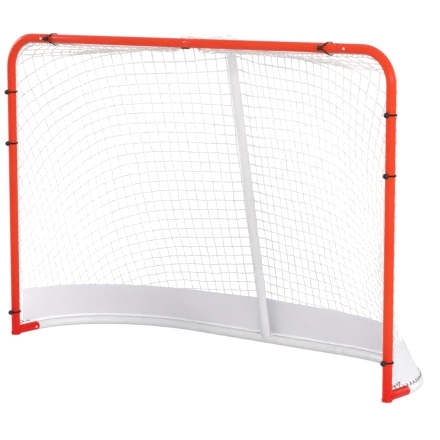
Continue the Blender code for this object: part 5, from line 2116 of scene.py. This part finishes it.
@dataclass
class BallTies:
    """The eight ball ties: a doubled loop of elastic and a bored black ball."""

    surface: NetPlan
    shop: Workshop
    ball_radius: float = 0.010
    ball_sides: int = 32
    ball_rings: int = 24
    bore_radius: float = 0.0031
    bore_round: float = 0.0007
    loop_radius: float = 0.0025
    strand_radius: float = 0.0015
    strand_spread: float = 1.02
    strand_sides: int = 10
    tuck: float = 0.55
    slip: float = 0.027
    fade: float = 0.34
    upper_drop: float = 0.2165
    middle_drop: float = 0.4215
    lower_left: float = 0.094
    lower_right: float = 0.138
    loop_steps: int = 48
    knot_size: float = 0.00058
    knot_points: int = 40
    knot_depth: float = 1.2
    knot_radius: float = 0.0012
    knot_sink: float = 0.0021

    def build(self) -> None:
        """Ties three balls to each post and two to the crossbar."""
        surface, plan = self.surface, self.surface.plan
        model = self.ball()
        for side, lower in zip(Side, (self.lower_left, self.lower_right)):
            heights = (plan.bar_z - self.upper_drop, plan.bar_z - self.middle_drop, lower)
            for level, height in zip(("upper", "middle", "lower"), heights):
                axis = plan.on_post(side, height)
                rope = axis + Y * surface.rope_reach
                self.tie(model, f"post_{side.label}_{level}", axis, Z, rope, 0.0)
        for label, x in (("left", surface.tie_left), ("right", surface.tie_right)):
            reach, angle, _ = surface.bar_offset(x)
            axis = plan.on_bar(x)
            rope = axis + Vector((0, math.cos(angle), math.sin(angle))) * reach
            self.tie(model, "crossbar_" + label, axis, X, rope, self.slip)
        bpy.data.objects.remove(model, do_unlink=True)

    def ball(self) -> Piece:
        """One ball at the origin, bored through from front to back."""
        size = {"segments": self.ball_sides, "ring_count": self.ball_rings, "radius": self.ball_radius}
        turned = (math.pi / 2, 0, 0)
        item = Bench.new(bpy.ops.mesh.primitive_uv_sphere_add, "ball_model", rotation=turned, **size)
        reach = 2 * self.ball_radius
        bore = Bench.cylinder("bore", self.bore_radius, -reach, reach, self.ball_sides)
        Bench.combine(item, Bench.move(bore, Matrix.Rotation(math.pi / 2, 4, "X")))
        Bench.soften(item, self.bore_round, segments=3)
        return Bench.shade(item)

    def tie(self, model: Piece, label: str, axis: Vector, tube: Vector, rope: Vector, slip: float) -> None:
        """One tie: its elastic round a tube and the rope, and its ball in front.

        Args:
            model: The ball that is copied.
            label: The tie's name in the frame.
            axis: The point on the tube's axis where it is tied.
            tube: The tube's direction.
            rope: The border rope's axis beside that point.
            slip: How far the ball has slipped along the tube.
        """
        plan = self.surface.plan
        distance = (rope - axis).length
        to_rope = (rope - axis).normalized()
        side, front = tube.cross(to_rope), -Y
        reach = self.loop_radius + plan.gap
        ball_gap, ring = self.ball_radius + reach, plan.tube_radius + reach
        ball_reach = plan.tube_radius + self.ball_radius + plan.gap
        opening = math.acos((ring ** 2 + ball_reach ** 2 - ball_gap ** 2) / (2 * ring * ball_reach))
        start = math.atan2(front.dot(side), front.dot(to_rope)) + opening
        centre = axis + front * ball_reach - tube * slip
        middle = []
        for share in np.arange(self.loop_steps + 1) / self.loop_steps:
            turn = start + 2 * (math.pi - opening) * share
            normal = to_rope * math.cos(turn) + side * math.sin(turn)
            over_rope = distance * math.cos(turn) + self.surface.rope_radius > plan.tube_radius
            hub = axis + to_rope * distance if over_rope else axis
            radius = self.surface.rope_radius if over_rope else plan.tube_radius
            pulled = max(slip - ball_gap, 0.0) * (1.0 - smooth_step(min(share, 1.0 - share) / self.fade))
            middle.append(hub + normal * (radius + reach) - tube * pulled)
        first, last = (centre + (end - centre) * self.tuck for end in (middle[0], middle[-1]))
        line = as_array([first, *middle, last])
        cords = CordMaker(self.strand_sides)
        for lift in (-1, 1):
            apart = np.array(tube) * self.strand_radius * self.strand_spread * lift
            cords.lay(line + apart, self.strand_radius)
        self.knot(cords, centre)
        self.shop.hand_over(cords.make("tie_loop_" + label), TIE_ELASTIC, "tie_cord_" + label)
        ball = Bench.copy(model, "tie_bead_" + label, Matrix.Translation(centre))
        self.shop.hand_over(ball, BLACK_PLASTIC, "tie_ball_" + label)

    def knot(self, cords: CordMaker, centre: Vector) -> None:
        """The overhand knot that stops the elastic in the ball's bore.

        Args:
            cords: The tie's cords, to which it is added.
            centre: The ball's centre.
        """
        turns = np.linspace(0, 2 * math.pi, self.knot_points)
        x = np.sin(turns) + 2 * np.sin(2 * turns)
        z = np.cos(turns) - 2 * np.cos(2 * turns)
        shape = np.column_stack([x, -np.sin(3 * turns) * self.knot_depth, z]) * self.knot_size
        front = np.array(centre) + (0, self.knot_sink - self.ball_radius, 0)
        cords.lay(shape + front, self.knot_radius)


@dataclass(frozen=True)
class SoftLamp:
    """A square soft box that looks at a point."""

    name: str
    place: Point
    target: Point
    width: float
    height: float
    watts: float

    def build(self) -> None:
        """Hangs the lamp."""
        data = bpy.data.lights.new(self.name, "AREA")
        data.shape = "RECTANGLE"
        data.size, data.size_y = self.width, self.height
        data.energy = self.watts
        item = Bench.link(self.name, data)
        item.location = self.place
        look = Vector(self.target) - Vector(self.place)
        item.rotation_euler = look.to_track_quat("-Z", "Y").to_euler()


@dataclass(frozen=True)
class Viewpoint:
    """The camera, fitted to the photograph without its sideways stretch."""

    place: Point = (4.089, -5.1585, 1.468)
    yaw: float = 38.62
    pitch: float = -8.18
    lens: float = 142.7
    sensor: float = 36.0

    def build(self) -> None:
        """Sets up the scene's camera."""
        data = bpy.data.cameras.new("camera")
        data.lens, data.sensor_width = self.lens, self.sensor
        data.clip_start, data.clip_end = 0.05, 60.0
        item = Bench.link("camera", data)
        item.location = self.place
        item.rotation_euler = (math.radians(90 + self.pitch), 0, math.radians(self.yaw))
        bpy.context.scene.camera = item


@dataclass
class Studio:
    """The pale floor, the white surroundings, the soft lamps and the camera."""

    floor_half: float = 14.0
    floor_level: float = -0.0012
    floor_colour: tuple[float, ...] = (0.75, 0.75, 0.75, 1.0)
    floor_roughness: float = 0.95
    ambient: float = 0.24
    backdrop: float = 1.05
    floor_show: float = 0.82
    floor_glow: float = 1.20
    lamps: tuple[SoftLamp, ...] = (
        SoftLamp("right_lamp", (8.6, -2.5, 3.0), (0.0, 0.0, 0.5), 2.6, 2.8, 300.0),
        SoftLamp("left_lamp", (-8.0, -2.9, 3.0), (0.0, 0.0, 0.5), 2.6, 2.8, 450.0),
        SoftLamp("front_lamp", (5.2, -6.6, 2.6), (0.0, 0.0, 0.55), 2.4, 2.4, 260.0),
        SoftLamp("rear_lamp", (3.4, 7.6, 3.0), (0.0, 0.0, 0.5), 2.4, 2.4, 170.0),
        SoftLamp("top_lamp", (0.0, -0.4, 4.8), (0.0, 0.0, 0.0), 3.4, 2.4, 40.0),
    )

    def build(self) -> None:
        """Sets up everything that isn't the goal."""
        self.surroundings()
        self.floor()
        for lamp in self.lamps:
            lamp.build()
        Viewpoint().build()
        bpy.context.scene.view_settings.view_transform = "Standard"

    def surroundings(self) -> None:
        """White to the camera and in reflections, softer as light on the goal."""
        world = bpy.data.worlds.new("studio")
        bpy.context.scene.world = world
        world.use_nodes = True
        nodes = Nodes(world.node_tree)
        strength = nodes.background_rays() * (self.backdrop - self.ambient) + self.ambient
        nodes.feed("Background", {"Color": WHITE, "Strength": strength})

    def floor(self) -> None:
        """A wide white floor that keeps a faint shadow."""
        place = {"size": 2 * self.floor_half, "location": (0, 0, self.floor_level)}
        item = Bench.new(bpy.ops.mesh.primitive_plane_add, "studio_floor", **place)
        recipe = Recipe("floor_white")
        recipe.feed(recipe.shader, {"Base Color": self.floor_colour, "Roughness": self.floor_roughness})
        glow = recipe.add("ShaderNodeEmission", {}, {"Color": WHITE, "Strength": self.floor_glow})
        share = recipe.background_rays() * self.floor_show
        lit = Signal(recipe, recipe.shader.outputs[0])
        mixed = recipe.add("ShaderNodeMixShader", {}, {0: share, 1: lit, 2: glow})
        recipe.feed("Material Output", {"Surface": mixed})
        item.data.materials.append(recipe.material)


def main() -> None:
    """Builds the goal on its frame, lights it and notes its size."""
    logging.basicConfig(level=logging.INFO, format="%(name)s: %(message)s", stream=sys.stdout)
    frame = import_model()
    plan = GoalPlan.measure()
    log.info("posts %.4f m from the middle, crossbar at %.4f m", plan.post_x, plan.bar_z)
    shop = Workshop()
    snaps = SnapButtons(plan, shop)
    shared = (plan, TubeBender(plan.tube_wall), shop, snaps.places())
    MouthFrame(*shared).build()
    BaseAndBrace(*shared).build()
    snaps.build()
    for name, node in frame["nodes"].items():
        if name.startswith("button_spring_"):
            shop.keep(node, STEEL)
    surface = NetPlan(plan)
    for maker in (Lacing, Netting, Skirt, BallTies):
        maker(surface, shop).build()
    Studio().build()
    Bench.clear()
    log.info("%d pieces handed over", shop.count)


if __name__ == "__main__":
    main()
